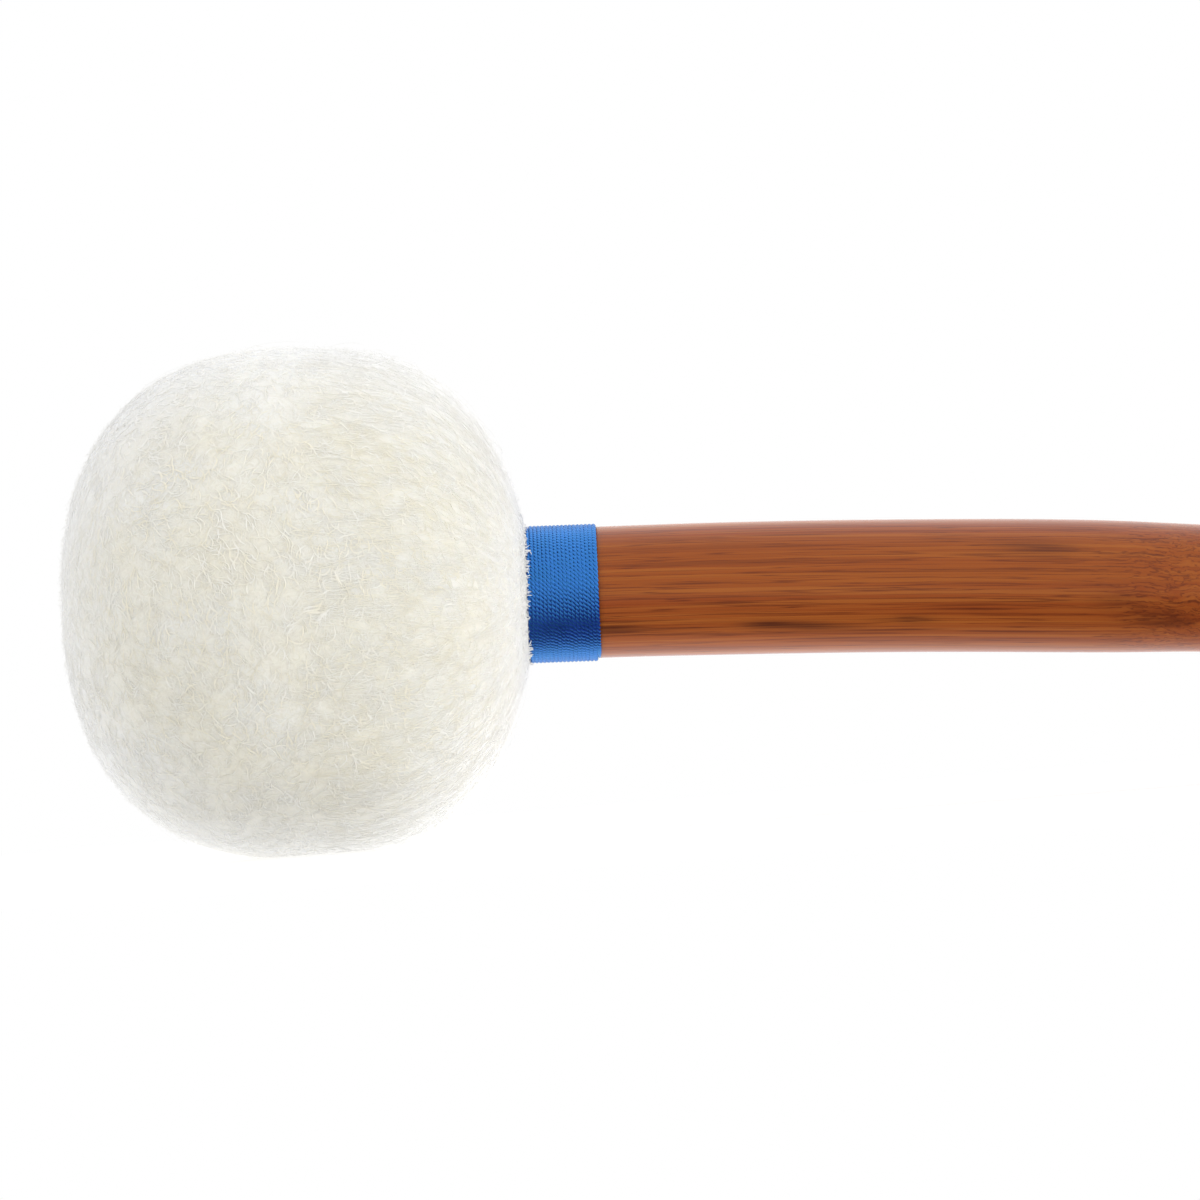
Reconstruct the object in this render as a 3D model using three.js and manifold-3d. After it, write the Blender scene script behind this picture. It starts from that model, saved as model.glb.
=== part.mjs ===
// A bass drum mallet: a ball of felt in a gathered wool cover, on the end of a bowed bamboo cane,
// with a blue thread whipping over the mouth of the cover.
// Millimetres, +Z up. The mallet lies as it does on a table, on its ball and on the lower edge of its butt,
// with the ball towards -X. Places along it are distances from the tip of the ball, along the cane's axis.
import * as THREE from "three";
import { mergeVertices } from "three/addons/utils/BufferGeometryUtils.js";
import Module from "manifold-3d";

const wasm = await Module();
wasm.setup();

// Driving dimensions of the whole mallet
const MALLET_LENGTH = 380;
const BALL_RADIUS = 40.2;
const BALL_FRONT = 36.5; // tip of the ball to its widest ring
const BALL_REAR = 36.4; // widest ring to the whipping
const CLEARANCE = 0.3; // between any two pieces that seat on each other
const REST_FLAT = 0.5; // how deep the wool is pressed flat where the mallet lies on it

// The bamboo cane
const CANE_RADIUS = 10.48;
const BOW_RADIUS = 1600;
const FIRST_NODE = 183;
const INTERNODE = 95;
const WAIST_DEPTH = 0.5; // the cane is slimmer beside a node
const WAIST_REACH = 14;
const RIDGE_HEIGHT = 0.75; // the sanded ridge on the node itself
const RIDGE_REACH = 1.7;
const SHOULDER_EASE = 0.13; // the cane thins a little towards its shoulder
const SHOULDER_EASE_REACH = 16;
const SHOULDER_ROUND = 0.35;
const BUTT_ROUND = 2.4;
const CANE_BORE = 4;
const DIAPHRAGM = 5; // thickness of the wall that closes the bore at a node

// The whipping, and what lies under it on the neck of the cane, from the outside in
const WRAP_LENGTH = 11.5;
const WRAP_PROUD = 0.5; // how far the thread stands above the cane behind it
const THREAD_DIAMETER = 0.5;
const THREAD_GAP = 0.42;
const TAPE_THICKNESS = 0.45;
const MOUTH_THICKNESS = 1; // of the gathered cloth
const CORD_DIAMETER = 1.2;
const GROOVE_SLOPE = 1; // run of each side of the groove, along the cane

// The wool cover
const COVER_WALL = 5;
const PLEAT_DEPTH = 0.3;

// The head inside the cover
const FELT_EASE = 0.6; // the felt fills the cover less than tightly
const TIP_FELT = 8.1;
const REAR_FELT = 6;
const HARD_FELT = 7.7;
const HARD_FELT_ROUND = 3;
const CORE_RADIUS = 16;
const CORE_ROUND = 1.5;
const POCKET_DEPTH = 5; // of the pocket in the front of the core, for the washer and the screw head
const WASHER_SEAT = 2.7; // width of the step that the washer bears on, round the tenon
const TENON_STEP = 1.5; // height of the cane's shoulder behind the core
const TENON_CHAMFER = 0.6;
const DOWEL_REACH = 21; // how far the dowel goes into the cane past the whipping
const DOWEL_CHAMFER = 0.8;
const WASHER_THICKNESS = 1.5;
const SCREW_SHANK = 1.5;
const SCREW_HEAD_RADIUS = 4;
const SCREW_HEAD_HEIGHT = 2.3;
const SCREW_LENGTH = 28;
const SCREW_POINT = 4;
const SLOT_WIDTH = 1;
const SLOT_DEPTH = 1.1;

// Facets, and the exponents of the ball's outline: a higher one is a squarer curve
const HEAD_SIDES = 28; // a multiple of four, and twice the number of gathers
const CANE_SIDES = 32;
const SMALL_SIDES = 16;
const CORD_SIDES = 8;
const FRONT_STEPS = 8;
const REAR_STEPS = 9;
const LAYER_STEPS = 6; // for a curve that the cover hides
const ROUND_STEPS = 3;
const CAP_STEPS = 4;
const TURN_STEPS = 24;
const THREAD_SIDES = 6;
const TUCK_STEPS = 5;
const SETTLING_PASSES = 6;
const [FRONT_LONG, FRONT_WIDE] = [2.3, 2.4];
const [REAR_LONG, REAR_WIDE] = [2.8, 2.1];
const WELD = 0.0001; // vertices nearer than this are one
const OVERRUN = 2; // how far a cutter passes the face that it cuts

// Places and radii that follow from the sizes above
const neckAt = BALL_FRONT + BALL_REAR;
const shoulderAt = neckAt + WRAP_LENGTH;
const wrapRadius = CANE_RADIUS - SHOULDER_EASE + WRAP_PROUD;
const tape = band(wrapRadius - THREAD_DIAMETER - CLEARANCE, TAPE_THICKNESS);
const mouth = band(tape.inner - CLEARANCE, MOUTH_THICKNESS);
const neckRadius = mouth.inner - CLEARANCE;
const tenonRadius = neckRadius - TENON_STEP;
const cordOuter = tape.inner - CLEARANCE;
const grooveDepth = CORD_DIAMETER + CLEARANCE;
const grooveAt = neckAt + WRAP_LENGTH / 2;
const threadBend = CLEARANCE + TAPE_THICKNESS - THREAD_DIAMETER / 2;
const nodes = nodesAlong();

// Layers of the ball, each given by the outline of its outer face
const ball = layer(0, BALL_RADIUS, neckAt, wrapRadius);
const bag = layer(COVER_WALL, BALL_RADIUS - COVER_WALL, neckAt - COVER_WALL, mouth.inner);
const felt = layer(bag.tip + FELT_EASE, bag.radius - FELT_EASE, bag.end - FELT_EASE, mouth.inner);

// The core lies between the tip felt and the rear felt, and its pocket ends where the tenon begins.
const coreFront = felt.tip + TIP_FELT + CLEARANCE;
const coreRear = felt.end - REAR_FELT - CLEARANCE;
const coreBore = tenonRadius + CLEARANCE;
const pocketRadius = coreBore + WASHER_SEAT;
const pocketEnd = coreFront + POCKET_DEPTH;
const tenonFront = pocketEnd + CLEARANCE;
const tenonShoulder = coreRear + CLEARANCE;
const washerFront = pocketEnd - CLEARANCE - WASHER_THICKNESS;
const screwHeadEnd = washerFront - CLEARANCE;
const hardFeltBore = CORE_RADIUS + CLEARANCE;
const hardFeltRadius = hardFeltBore + HARD_FELT;

function band(outer, thickness) {
  return { outer, inner: outer - thickness };
}

function layer(tip, radius, end, endRadius) {
  const angle = rearAngle(radius, endRadius);
  const rear = (end - BALL_FRONT) / Math.sin(angle) ** (2 / REAR_LONG);
  return { tip, radius, end, endRadius, front: BALL_FRONT - tip, rear };
}

function nodesAlong() {
  const found = [];
  for (let at = FIRST_NODE; at < MALLET_LENGTH; at += INTERNODE) found.push(at);
  return found;
}

// A point of an outline that turns about the cane's axis
function at(along, radius) {
  return new THREE.Vector2(radius, along);
}

// The angle at which an outline of this radius has fallen to a smaller one
function frontAngle(radius, smaller) {
  return Math.acos((smaller / radius) ** (FRONT_WIDE / 2));
}

function rearAngle(radius, smaller) {
  return Math.acos((smaller / radius) ** (REAR_WIDE / 2));
}

function fractions(steps) {
  return Array.from({ length: steps + 1 }, (_, i) => i / steps);
}

function frontPoint(shape, angle) {
  const along = BALL_FRONT - shape.front * Math.sin(angle) ** (2 / FRONT_LONG);
  return at(along, shape.radius * Math.cos(angle) ** (2 / FRONT_WIDE));
}

function rearPoint(shape, angle) {
  const along = BALL_FRONT + shape.rear * Math.sin(angle) ** (2 / REAR_LONG);
  return at(along, shape.radius * Math.cos(angle) ** (2 / REAR_WIDE));
}

// The front of a layer from a smaller radius to a larger one
function frontCurve(shape, smaller, larger, steps) {
  const first = frontAngle(shape.radius, smaller);
  const last = frontAngle(shape.radius, larger);
  return fractions(steps).map((share) => frontPoint(shape, first + share * (last - first)));
}

// The rear of a layer from a larger radius to a smaller one
function rearCurve(shape, larger, smaller, steps) {
  const first = rearAngle(shape.radius, larger);
  const last = rearAngle(shape.radius, smaller);
  return fractions(steps).map((share) => rearPoint(shape, first + share * (last - first)));
}

// A quarter of a circle from one angle to the next, about a centre on the outline's plane
function rounded(along, radius, round, startAngle) {
  return fractions(ROUND_STEPS).map((share) => {
    const angle = startAngle + (share * Math.PI) / 2;
    return at(along - round * Math.cos(angle), radius + round * Math.sin(angle));
  });
}

// One vertex at each place, and no triangle that has collapsed there
function welded(geometry) {
  geometry.deleteAttribute("normal");
  geometry.deleteAttribute("uv");
  const merged = mergeVertices(geometry, WELD);
  const corners = merged.index.array;
  const kept = [];
  for (let i = 0; i < corners.length; i += 3) {
    const [a, b, c] = corners.slice(i, i + 3);
    if (a !== b && b !== c && c !== a) kept.push(a, b, c);
  }
  return merged.setIndex(kept);
}

// Turns an outline about the X axis. It runs from front to rear on the outside of the piece.
function turned(outline, sides) {
  const geometry = new THREE.LatheGeometry(outline, sides);
  geometry.rotateZ(-Math.PI / 2);
  return welded(geometry);
}

function ring(outline, sides) {
  return turned([...outline, outline[0]], sides);
}

function toSolid(geometry) {
  const vertProperties = new Float32Array(geometry.attributes.position.array);
  const triVerts = new Uint32Array(geometry.index.array);
  return new wasm.Manifold(new wasm.Mesh({ numProp: 3, vertProperties, triVerts }));
}

function toGeometry(solid) {
  const mesh = solid.getMesh();
  const geometry = new THREE.BufferGeometry();
  geometry.setAttribute("position", new THREE.BufferAttribute(mesh.vertProperties, 3));
  geometry.setIndex(new THREE.BufferAttribute(mesh.triVerts, 1));
  return geometry;
}

function cut(geometry, ...cutters) {
  const start = toSolid(geometry);
  return toGeometry(cutters.reduce((left, cutter) => left.subtract(toSolid(welded(cutter))), start));
}

// The cane's axis: straight through the head and the whipping, an even arc to the first node, then straight
function axisAt(along) {
  const arc = THREE.MathUtils.clamp(along - shoulderAt, 0, FIRST_NODE - shoulderAt);
  const turn = arc / BOW_RADIUS;
  const beyond = Math.max(along - FIRST_NODE, 0);
  const x = Math.min(along, shoulderAt) + BOW_RADIUS * Math.sin(turn) + beyond * Math.cos(turn);
  const z = -BOW_RADIUS * (1 - Math.cos(turn)) - beyond * Math.sin(turn);
  return { x, z, turn };
}

// Where a point of a straight piece lies once the cane is bowed
function bowed(along, above) {
  const axis = axisAt(along);
  return [axis.x + above * Math.sin(axis.turn), axis.z + above * Math.cos(axis.turn)];
}

function bow(geometry) {
  const position = geometry.attributes.position;
  for (let i = 0; i < position.count; i++) {
    const [x, z] = bowed(position.getX(i), position.getZ(i));
    position.setXYZ(i, x, position.getY(i), z);
  }
  return geometry;
}

function bell(distance, reach) {
  return Math.exp(-((distance / reach) ** 2));
}

function caneRadius(along) {
  const waists = nodes.reduce((sum, node) => sum + WAIST_DEPTH * bell(along - node, WAIST_REACH), 0);
  const ridges = nodes.reduce((sum, node) => sum + RIDGE_HEIGHT * bell(along - node, RIDGE_REACH), 0);
  const ease = SHOULDER_EASE * bell(along - shoulderAt, SHOULDER_EASE_REACH);
  return CANE_RADIUS - waists + ridges - ease;
}

// Places between the shoulder and the butt: close together on the nodes, and wide apart between them
function caneStations() {
  const nearShares = [-3.2, -1.6, -0.7, 0, 0.7, 1.6, 3.2];
  const first = shoulderAt + SHOULDER_ROUND;
  const last = MALLET_LENGTH - BUTT_ROUND;
  const near = nodes.flatMap((node) => nearShares.map((share) => node + share * RIDGE_REACH));
  const stops = [first, ...near.filter((place) => place > first && place < last), last];
  return stops.flatMap((stop, i) => {
    const gap = i ? stop - stops[i - 1] : 0;
    const parts = Math.max(1, Math.ceil(gap / WAIST_REACH));
    return i ? fractions(parts).slice(1).map((share) => stop - gap * (1 - share)) : [stop];
  });
}

function groove(radius, slack) {
  const half = CORD_DIAMETER / 2 + CLEARANCE + slack;
  return [
    at(grooveAt - half - GROOVE_SLOPE, radius),
    at(grooveAt - half, radius - grooveDepth),
    at(grooveAt + half, radius - grooveDepth),
    at(grooveAt + half + GROOVE_SLOPE, radius),
  ];
}

function caneOutline() {
  const buttRadius = caneRadius(MALLET_LENGTH - BUTT_ROUND);
  const boreEnd = FIRST_NODE - DIAPHRAGM / 2;
  const boreLength = boreEnd - shoulderAt;
  const boreSteps = fractions(Math.ceil(boreLength / (2 * WAIST_REACH)));
  const shoulderRadius = caneRadius(shoulderAt);
  return [
    at(tenonFront, CANE_BORE),
    at(tenonFront, tenonRadius - TENON_CHAMFER),
    at(tenonFront + TENON_CHAMFER, tenonRadius),
    at(tenonShoulder, tenonRadius),
    at(tenonShoulder, neckRadius),
    ...groove(neckRadius, 0),
    at(shoulderAt, neckRadius),
    at(shoulderAt, shoulderRadius - SHOULDER_ROUND),
    ...caneStations().map((place) => at(place, caneRadius(place))),
    ...rounded(MALLET_LENGTH - BUTT_ROUND, buttRadius - BUTT_ROUND, BUTT_ROUND, Math.PI / 2).slice(1),
    at(MALLET_LENGTH, 0),
    at(boreEnd, 0),
    ...boreSteps.map((share) => at(boreEnd - share * boreLength, CANE_BORE)),
    at(tenonFront, CANE_BORE),
  ];
}

function makeCane() {
  return bow(turned(caneOutline(), CANE_SIDES));
}

// The radius of the gathered mouth runs in and out from pleat to pleat, with no gathers on the ball itself
function gather(geometry) {
  const position = geometry.attributes.position;
  for (let i = 0; i < position.count; i++) {
    const [x, y, z] = [position.getX(i), position.getY(i), position.getZ(i)];
    const radius = Math.hypot(y, z);
    const rise = Math.min(1, (x - bag.end) / COVER_WALL);
    if (rise <= 0 || radius < (mouth.inner + mouth.outer) / 2) continue;
    const fold = (1 + Math.cos((HEAD_SIDES / 2) * Math.atan2(y, z))) / 2;
    const scale = 1 - (PLEAT_DEPTH * fold * rise) / radius;
    position.setXYZ(i, x, y * scale, z * scale);
  }
  return geometry;
}

// The whole outer face of a layer whose front and rear start at these radii
function shell(shape, frontRadius, rearRadius, frontSteps, rearSteps) {
  const front = frontCurve(shape, frontRadius, shape.radius, frontSteps);
  return [...front, ...rearCurve(shape, shape.radius, rearRadius, rearSteps).slice(1)];
}

function ballOutline() {
  return shell(ball, 0, ball.endRadius, FRONT_STEPS, REAR_STEPS);
}

function coverOutline() {
  const mouthEnd = shoulderAt - CLEARANCE;
  return [
    ...ballOutline(),
    at(neckAt, mouth.outer),
    ...groove(mouth.outer, -CLEARANCE),
    at(mouthEnd, mouth.outer),
    at(mouthEnd, mouth.inner),
    ...groove(mouth.inner, -CLEARANCE).reverse(),
    ...shell(bag, 0, bag.endRadius, LAYER_STEPS, LAYER_STEPS).reverse(),
  ];
}

function makeCover(restAngle) {
  const cover = gather(turned(coverOutline(), HEAD_SIDES));
  const side = 2 * BALL_RADIUS;
  const below = new THREE.BoxGeometry(side, side, side);
  const table = REST_FLAT - reach(ballSilhouette(), restAngle);
  below.translate(BALL_FRONT, 0, table - side / 2);
  below.rotateY(-restAngle);
  return cut(cover, below);
}

// One thread: it comes up square out of a notch in the tape, winds to the far notch and goes down again
class WhippingPath extends THREE.Curve {
  constructor(radius, start, turns, pitch) {
    super();
    Object.assign(this, { radius, start, turns, pitch });
    this.steps = turns * TURN_STEPS + 2 * TUCK_STEPS;
  }

  // Stations are even in t, so that the short bends at the ends have steps of their own.
  getUtoTmapping(u) {
    return u;
  }

  onHelix(angle) {
    const along = this.start + (this.pitch * angle) / (2 * Math.PI);
    return new THREE.Vector3(along, -this.radius * Math.sin(angle), this.radius * Math.cos(angle));
  }

  // share runs from 0 at the end of the thread to 1 where it joins the helix.
  tuck(angle, side, share) {
    const outward = new THREE.Vector3(0, -Math.sin(angle), Math.cos(angle));
    const forward = new THREE.Vector3(0, -Math.cos(angle), -Math.sin(angle)).multiplyScalar(side);
    const bend = Math.max(0, share * TUCK_STEPS - 1) / (TUCK_STEPS - 1);
    const straight = Math.max(0, 1 - share * TUCK_STEPS) * THREAD_DIAMETER;
    const swing = (1 - bend) * (Math.PI / 2);
    return this.onHelix(angle)
      .addScaledVector(forward, -threadBend * Math.sin(swing))
      .addScaledVector(outward, -threadBend * (1 - Math.cos(swing)) - straight);
  }

  // t runs from 0 at one end of the thread to 1 at the other.
  getPoint(t) {
    const station = t * this.steps;
    const fromEnd = this.steps - station;
    const whole = 2 * Math.PI * this.turns;
    if (station < TUCK_STEPS) return this.tuck(0, 1, station / TUCK_STEPS);
    if (fromEnd < TUCK_STEPS) return this.tuck(whole, -1, fromEnd / TUCK_STEPS);
    return this.onHelix(((station - TUCK_STEPS) * 2 * Math.PI) / TURN_STEPS);
  }
}

function whippingPath() {
  const start = tapeStart() + THREAD_DIAMETER / 2;
  const span = tapeEnd() - THREAD_DIAMETER / 2 - start;
  const turns = Math.floor(span / (THREAD_DIAMETER + THREAD_GAP));
  return new WhippingPath(wrapRadius - THREAD_DIAMETER / 2, start, turns, span / turns);
}

function tapeStart() {
  return neckAt + CLEARANCE;
}

function tapeEnd() {
  return shoulderAt - CLEARANCE;
}

// Least distance between parts of the thread that are at least half a turn apart, less its own thickness
function leastGap(path) {
  const points = fractions(path.steps).map((share) => path.getPoint(share));
  let least = Infinity;
  for (let i = 0; i < points.length; i++)
    for (let j = i + TURN_STEPS / 2; j < points.length; j++)
      least = Math.min(least, points[i].distanceTo(points[j]));
  return least - THREAD_DIAMETER;
}

function disc(radius, sides) {
  const corners = Array.from({ length: sides }, (_, i) => {
    const angle = (2 * Math.PI * i) / sides;
    return new THREE.Vector2(radius * Math.cos(angle), radius * Math.sin(angle));
  });
  return new THREE.Shape(corners);
}

function makeWinding() {
  const path = whippingPath();
  console.log("wrap_winding: least gap to itself " + leastGap(path).toFixed(3) + " mm");
  const section = disc(THREAD_DIAMETER / 2, THREAD_SIDES);
  return welded(new THREE.ExtrudeGeometry(section, { steps: path.steps, extrudePath: path }));
}

// The tape is notched at both edges, where the ends of the thread go under it.
function makeTape() {
  const sleeve = ring(
    [
      at(tapeStart(), tape.inner),
      at(tapeStart(), tape.outer),
      at(tapeEnd(), tape.outer),
      at(tapeEnd(), tape.inner),
    ],
    HEAD_SIDES,
  );
  const path = whippingPath();
  return cut(sleeve, notch(path.getPoint(0)), notch(path.getPoint(1)));
}

function notch(end) {
  const height = TAPE_THICKNESS + 2 * CLEARANCE;
  const drill = new THREE.CylinderGeometry(
    THREAD_DIAMETER / 2 + CLEARANCE,
    THREAD_DIAMETER / 2 + CLEARANCE,
    height,
    SMALL_SIDES,
  );
  drill.rotateX(Math.PI / 2);
  drill.translate(0, 0, tape.outer - TAPE_THICKNESS / 2);
  drill.rotateX(Math.atan2(-end.y, end.z));
  drill.translate(end.x, 0, 0);
  return drill;
}

function makeCord() {
  const centre = cordOuter - CORD_DIAMETER / 2;
  const outline = Array.from({ length: CORD_SIDES }, (_, i) => {
    const angle = (2 * Math.PI * i) / CORD_SIDES;
    return at(
      grooveAt - (CORD_DIAMETER / 2) * Math.cos(angle),
      centre + (CORD_DIAMETER / 2) * Math.sin(angle),
    );
  });
  return ring(outline, HEAD_SIDES);
}

function makeCore() {
  return ring(
    [
      at(coreFront, pocketRadius),
      ...rounded(coreFront + CORE_ROUND, CORE_RADIUS - CORE_ROUND, CORE_ROUND, 0),
      ...rounded(coreRear - CORE_ROUND, CORE_RADIUS - CORE_ROUND, CORE_ROUND, Math.PI / 2),
      at(coreRear, coreBore),
      at(pocketEnd, coreBore),
      at(pocketEnd, pocketRadius),
    ],
    HEAD_SIDES,
  );
}

function makeHardFelt() {
  const corner = hardFeltRadius - HARD_FELT_ROUND;
  return ring(
    [
      at(coreFront, hardFeltBore),
      ...rounded(coreFront + HARD_FELT_ROUND, corner, HARD_FELT_ROUND, 0),
      ...rounded(coreRear - HARD_FELT_ROUND, corner, HARD_FELT_ROUND, Math.PI / 2),
      at(coreRear, hardFeltBore),
    ],
    HEAD_SIDES,
  );
}

function makeSoftFelt() {
  const bore = hardFeltRadius + CLEARANCE;
  return ring(shell(felt, bore, bore, LAYER_STEPS, LAYER_STEPS), HEAD_SIDES);
}

function makeTipFelt() {
  const back = coreFront - CLEARANCE;
  const face = frontCurve(felt, 0, hardFeltRadius, CAP_STEPS);
  return turned([...face, at(back, hardFeltRadius), at(back, 0)], HEAD_SIDES);
}

function makeRearFelt() {
  const front = coreRear + CLEARANCE;
  const face = rearCurve(felt, hardFeltRadius, felt.endRadius, CAP_STEPS);
  return ring([at(front, felt.endRadius), at(front, hardFeltRadius), ...face], HEAD_SIDES);
}

function makeDowel() {
  const radius = CANE_BORE - CLEARANCE;
  const hole = SCREW_SHANK + CLEARANCE;
  const end = shoulderAt + DOWEL_REACH;
  const holeEnd = screwHeadEnd + SCREW_LENGTH + CLEARANCE;
  return bow(
    turned(
      [
        at(tenonFront, hole),
        at(tenonFront, radius - DOWEL_CHAMFER),
        at(tenonFront + DOWEL_CHAMFER, radius),
        at(shoulderAt, radius),
        at(end - DOWEL_CHAMFER, radius),
        at(end, radius - DOWEL_CHAMFER),
        at(end, 0),
        at(holeEnd, 0),
        at(holeEnd - SCREW_SHANK, hole),
        at(tenonFront, hole),
      ],
      SMALL_SIDES,
    ),
  );
}

function makeWasher() {
  const [hole, outer] = [SCREW_SHANK + CLEARANCE, pocketRadius - CLEARANCE];
  const back = washerFront + WASHER_THICKNESS;
  return ring([at(washerFront, hole), at(washerFront, outer), at(back, outer), at(back, hole)], HEAD_SIDES);
}

function makeScrew() {
  const front = screwHeadEnd - SCREW_HEAD_HEIGHT;
  const point = screwHeadEnd + SCREW_LENGTH;
  const edge = SCREW_HEAD_HEIGHT / 2;
  const body = turned(
    [
      at(front, 0),
      at(front, SCREW_HEAD_RADIUS - edge),
      at(front + edge / 2, SCREW_HEAD_RADIUS - edge / 4),
      at(front + edge, SCREW_HEAD_RADIUS),
      at(screwHeadEnd, SCREW_HEAD_RADIUS),
      at(screwHeadEnd, SCREW_SHANK),
      at(point - SCREW_POINT, SCREW_SHANK),
      at(point, 0),
    ],
    SMALL_SIDES,
  );
  const slot = new THREE.BoxGeometry(SLOT_DEPTH + OVERRUN, 2 * SCREW_HEAD_RADIUS + OVERRUN, SLOT_WIDTH);
  slot.translate(front + (SLOT_DEPTH - OVERRUN) / 2, 0, 0);
  return cut(body, slot);
}

// Lower edges of the ball and of the cane, as places along and above the axis of the head
function ballSilhouette() {
  return ballOutline().map((p) => [p.y, -p.x]);
}

function caneSilhouette() {
  return caneOutline().map((p) => bowed(p.y, -p.x));
}

// How far a silhouette reaches downwards when the mallet is turned by an angle
function reach(silhouette, angle) {
  return Math.max(...silhouette.map(([x, z]) => x * Math.sin(angle) - z * Math.cos(angle)));
}

// The angle at which the flat on the ball and the lowest edge of the cane are level
function findRestAngle() {
  let angle = 0;
  for (let pass = 0; pass < SETTLING_PASSES; pass++) {
    const lift = reach(ballSilhouette(), angle) - REST_FLAT - reach(caneSilhouette(), angle);
    angle += lift / (MALLET_LENGTH - BALL_FRONT);
  }
  return angle;
}

function finish(color, roughness, metalness) {
  return new THREE.MeshStandardMaterial({ color, roughness, metalness });
}

const finishes = {
  wool: finish(0xf3f1e6, 0.95, 0),
  bamboo: finish(0x9c5a32, 0.4, 0),
  thread: finish(0x2458be, 0.5, 0),
  tape: finish(0x24489a, 0.8, 0),
  linen: finish(0xd9cdb0, 0.9, 0),
  beech: finish(0xcfa670, 0.6, 0),
  hardFelt: finish(0xa9a498, 0.95, 0),
  softFelt: finish(0xdcd7c8, 0.95, 0),
  steel: finish(0x9a9c9f, 0.35, 1),
};

function piece(name, geometry, material) {
  const mesh = new THREE.Mesh(geometry, material);
  mesh.name = name;
  return mesh;
}

function buildHead() {
  const head = new THREE.Group();
  head.add(piece("head_core", makeCore(), finishes.beech));
  head.add(piece("hard_felt", makeHardFelt(), finishes.hardFelt));
  head.add(piece("soft_felt", makeSoftFelt(), finishes.softFelt));
  head.add(piece("tip_felt", makeTipFelt(), finishes.softFelt));
  head.add(piece("rear_felt", makeRearFelt(), finishes.softFelt));
  head.add(piece("core_washer", makeWasher(), finishes.steel));
  head.add(piece("core_screw", makeScrew(), finishes.steel));
  return head;
}

function buildWrap() {
  const wrap = new THREE.Group();
  wrap.add(piece("gather_cord", makeCord(), finishes.linen));
  wrap.add(piece("wrap_tape", makeTape(), finishes.tape));
  wrap.add(piece("wrap_winding", makeWinding(), finishes.thread));
  return wrap;
}

function buildMallet() {
  const restAngle = findRestAngle();
  const lying = new THREE.Group();
  lying.rotation.y = restAngle;
  lying.add(piece("cane_shaft", makeCane(), finishes.bamboo));
  lying.add(piece("neck_dowel", makeDowel(), finishes.beech));
  lying.add(buildHead(), buildWrap());
  lying.add(piece("wool_cover", makeCover(restAngle), finishes.wool));
  const mallet = new THREE.Group();
  mallet.add(lying);
  return mallet;
}

// The origin is on the table, under the middle of the mallet.
function centreOnTable(mallet) {
  mallet.updateMatrixWorld(true);
  const box = new THREE.Box3().setFromObject(mallet, true);
  const middle = box.getCenter(new THREE.Vector3());
  mallet.children[0].position.set(-middle.x, -middle.y, -box.min.z);
  return mallet;
}

const group = centreOnTable(buildMallet());
export default group;
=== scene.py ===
import logging
import math
from dataclasses import dataclass
from enum import Enum
from typing import Any, Sequence

import bmesh
import bpy
import numpy as np
from mathutils import Matrix, Vector


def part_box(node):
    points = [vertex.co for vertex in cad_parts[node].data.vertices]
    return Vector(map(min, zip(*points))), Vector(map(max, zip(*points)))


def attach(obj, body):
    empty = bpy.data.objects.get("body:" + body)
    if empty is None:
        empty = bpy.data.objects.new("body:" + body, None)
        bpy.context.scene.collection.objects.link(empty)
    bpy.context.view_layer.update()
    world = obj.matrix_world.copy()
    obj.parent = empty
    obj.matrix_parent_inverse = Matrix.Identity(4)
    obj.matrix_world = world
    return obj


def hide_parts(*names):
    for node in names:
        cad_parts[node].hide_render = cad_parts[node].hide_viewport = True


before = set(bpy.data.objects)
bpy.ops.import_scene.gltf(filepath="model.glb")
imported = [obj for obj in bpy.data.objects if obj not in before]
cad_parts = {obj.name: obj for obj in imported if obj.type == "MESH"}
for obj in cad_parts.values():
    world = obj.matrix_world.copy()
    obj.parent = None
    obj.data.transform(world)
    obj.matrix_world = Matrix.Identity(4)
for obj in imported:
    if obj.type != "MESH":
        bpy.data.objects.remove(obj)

log = logging.getLogger("bass_drum_mallet")

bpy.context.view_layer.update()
MM = 0.001
FULL_TURN = 2 * math.pi
NOISE_MIDDLE = (0.5, 0.5, 0.5)

Colour = tuple[float, float, float, float]
Points = np.ndarray
Mesh = bpy.types.Mesh
Material = bpy.types.Material
Piece = bpy.types.Object
Tree = bpy.types.NodeTree
Node = bpy.types.Node
Socket = bpy.types.NodeSocket


class Slot(Enum):
    """The mallet's material slots."""

    WOOL = "wool"
    BAMBOO = "bamboo"
    THREAD = "thread"
    TAPE = "tape"
    CORD = "cord"
    BEECH = "beech"
    HARD_FELT = "hard_felt"
    SOFT_FELT = "soft_felt"
    STEEL = "steel"


def srgb(hex_colour: str) -> Colour:
    """Turns an sRGB colour into the linear one that shaders take.

    Args:
        hex_colour: six hexadecimal digits, as in "F3F1E6".

    Returns:
        Red, green, blue and an alpha of 1.
    """
    channels = [int(hex_colour[i : i + 2], 16) / 255 for i in (0, 2, 4)]
    linear = [c / 12.92 if c <= 0.04045 else ((c + 0.055) / 1.055) ** 2.4 for c in channels]
    return (linear[0], linear[1], linear[2], 1.0)


def grey(level: float) -> Colour:
    """A neutral linear colour of one level."""
    return (level, level, level, 1.0)


def per_mm(size_mm: float) -> float:
    """The scale of a texture whose features are this many millimetres apart, on coordinates in metres."""
    return 1 / (size_mm * MM)


def fill_inputs(tree: Tree, node: Node, inputs: dict[Any, Any]) -> None:
    """Fills a node's inputs.

    Args:
        tree: the tree that holds the node.
        node: the node.
        inputs: for an input's name or number, a value or the output of another node.
    """
    for key, value in inputs.items():
        if isinstance(value, Socket):
            tree.links.new(value, node.inputs[key])
        else:
            node.inputs[key].default_value = value


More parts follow.
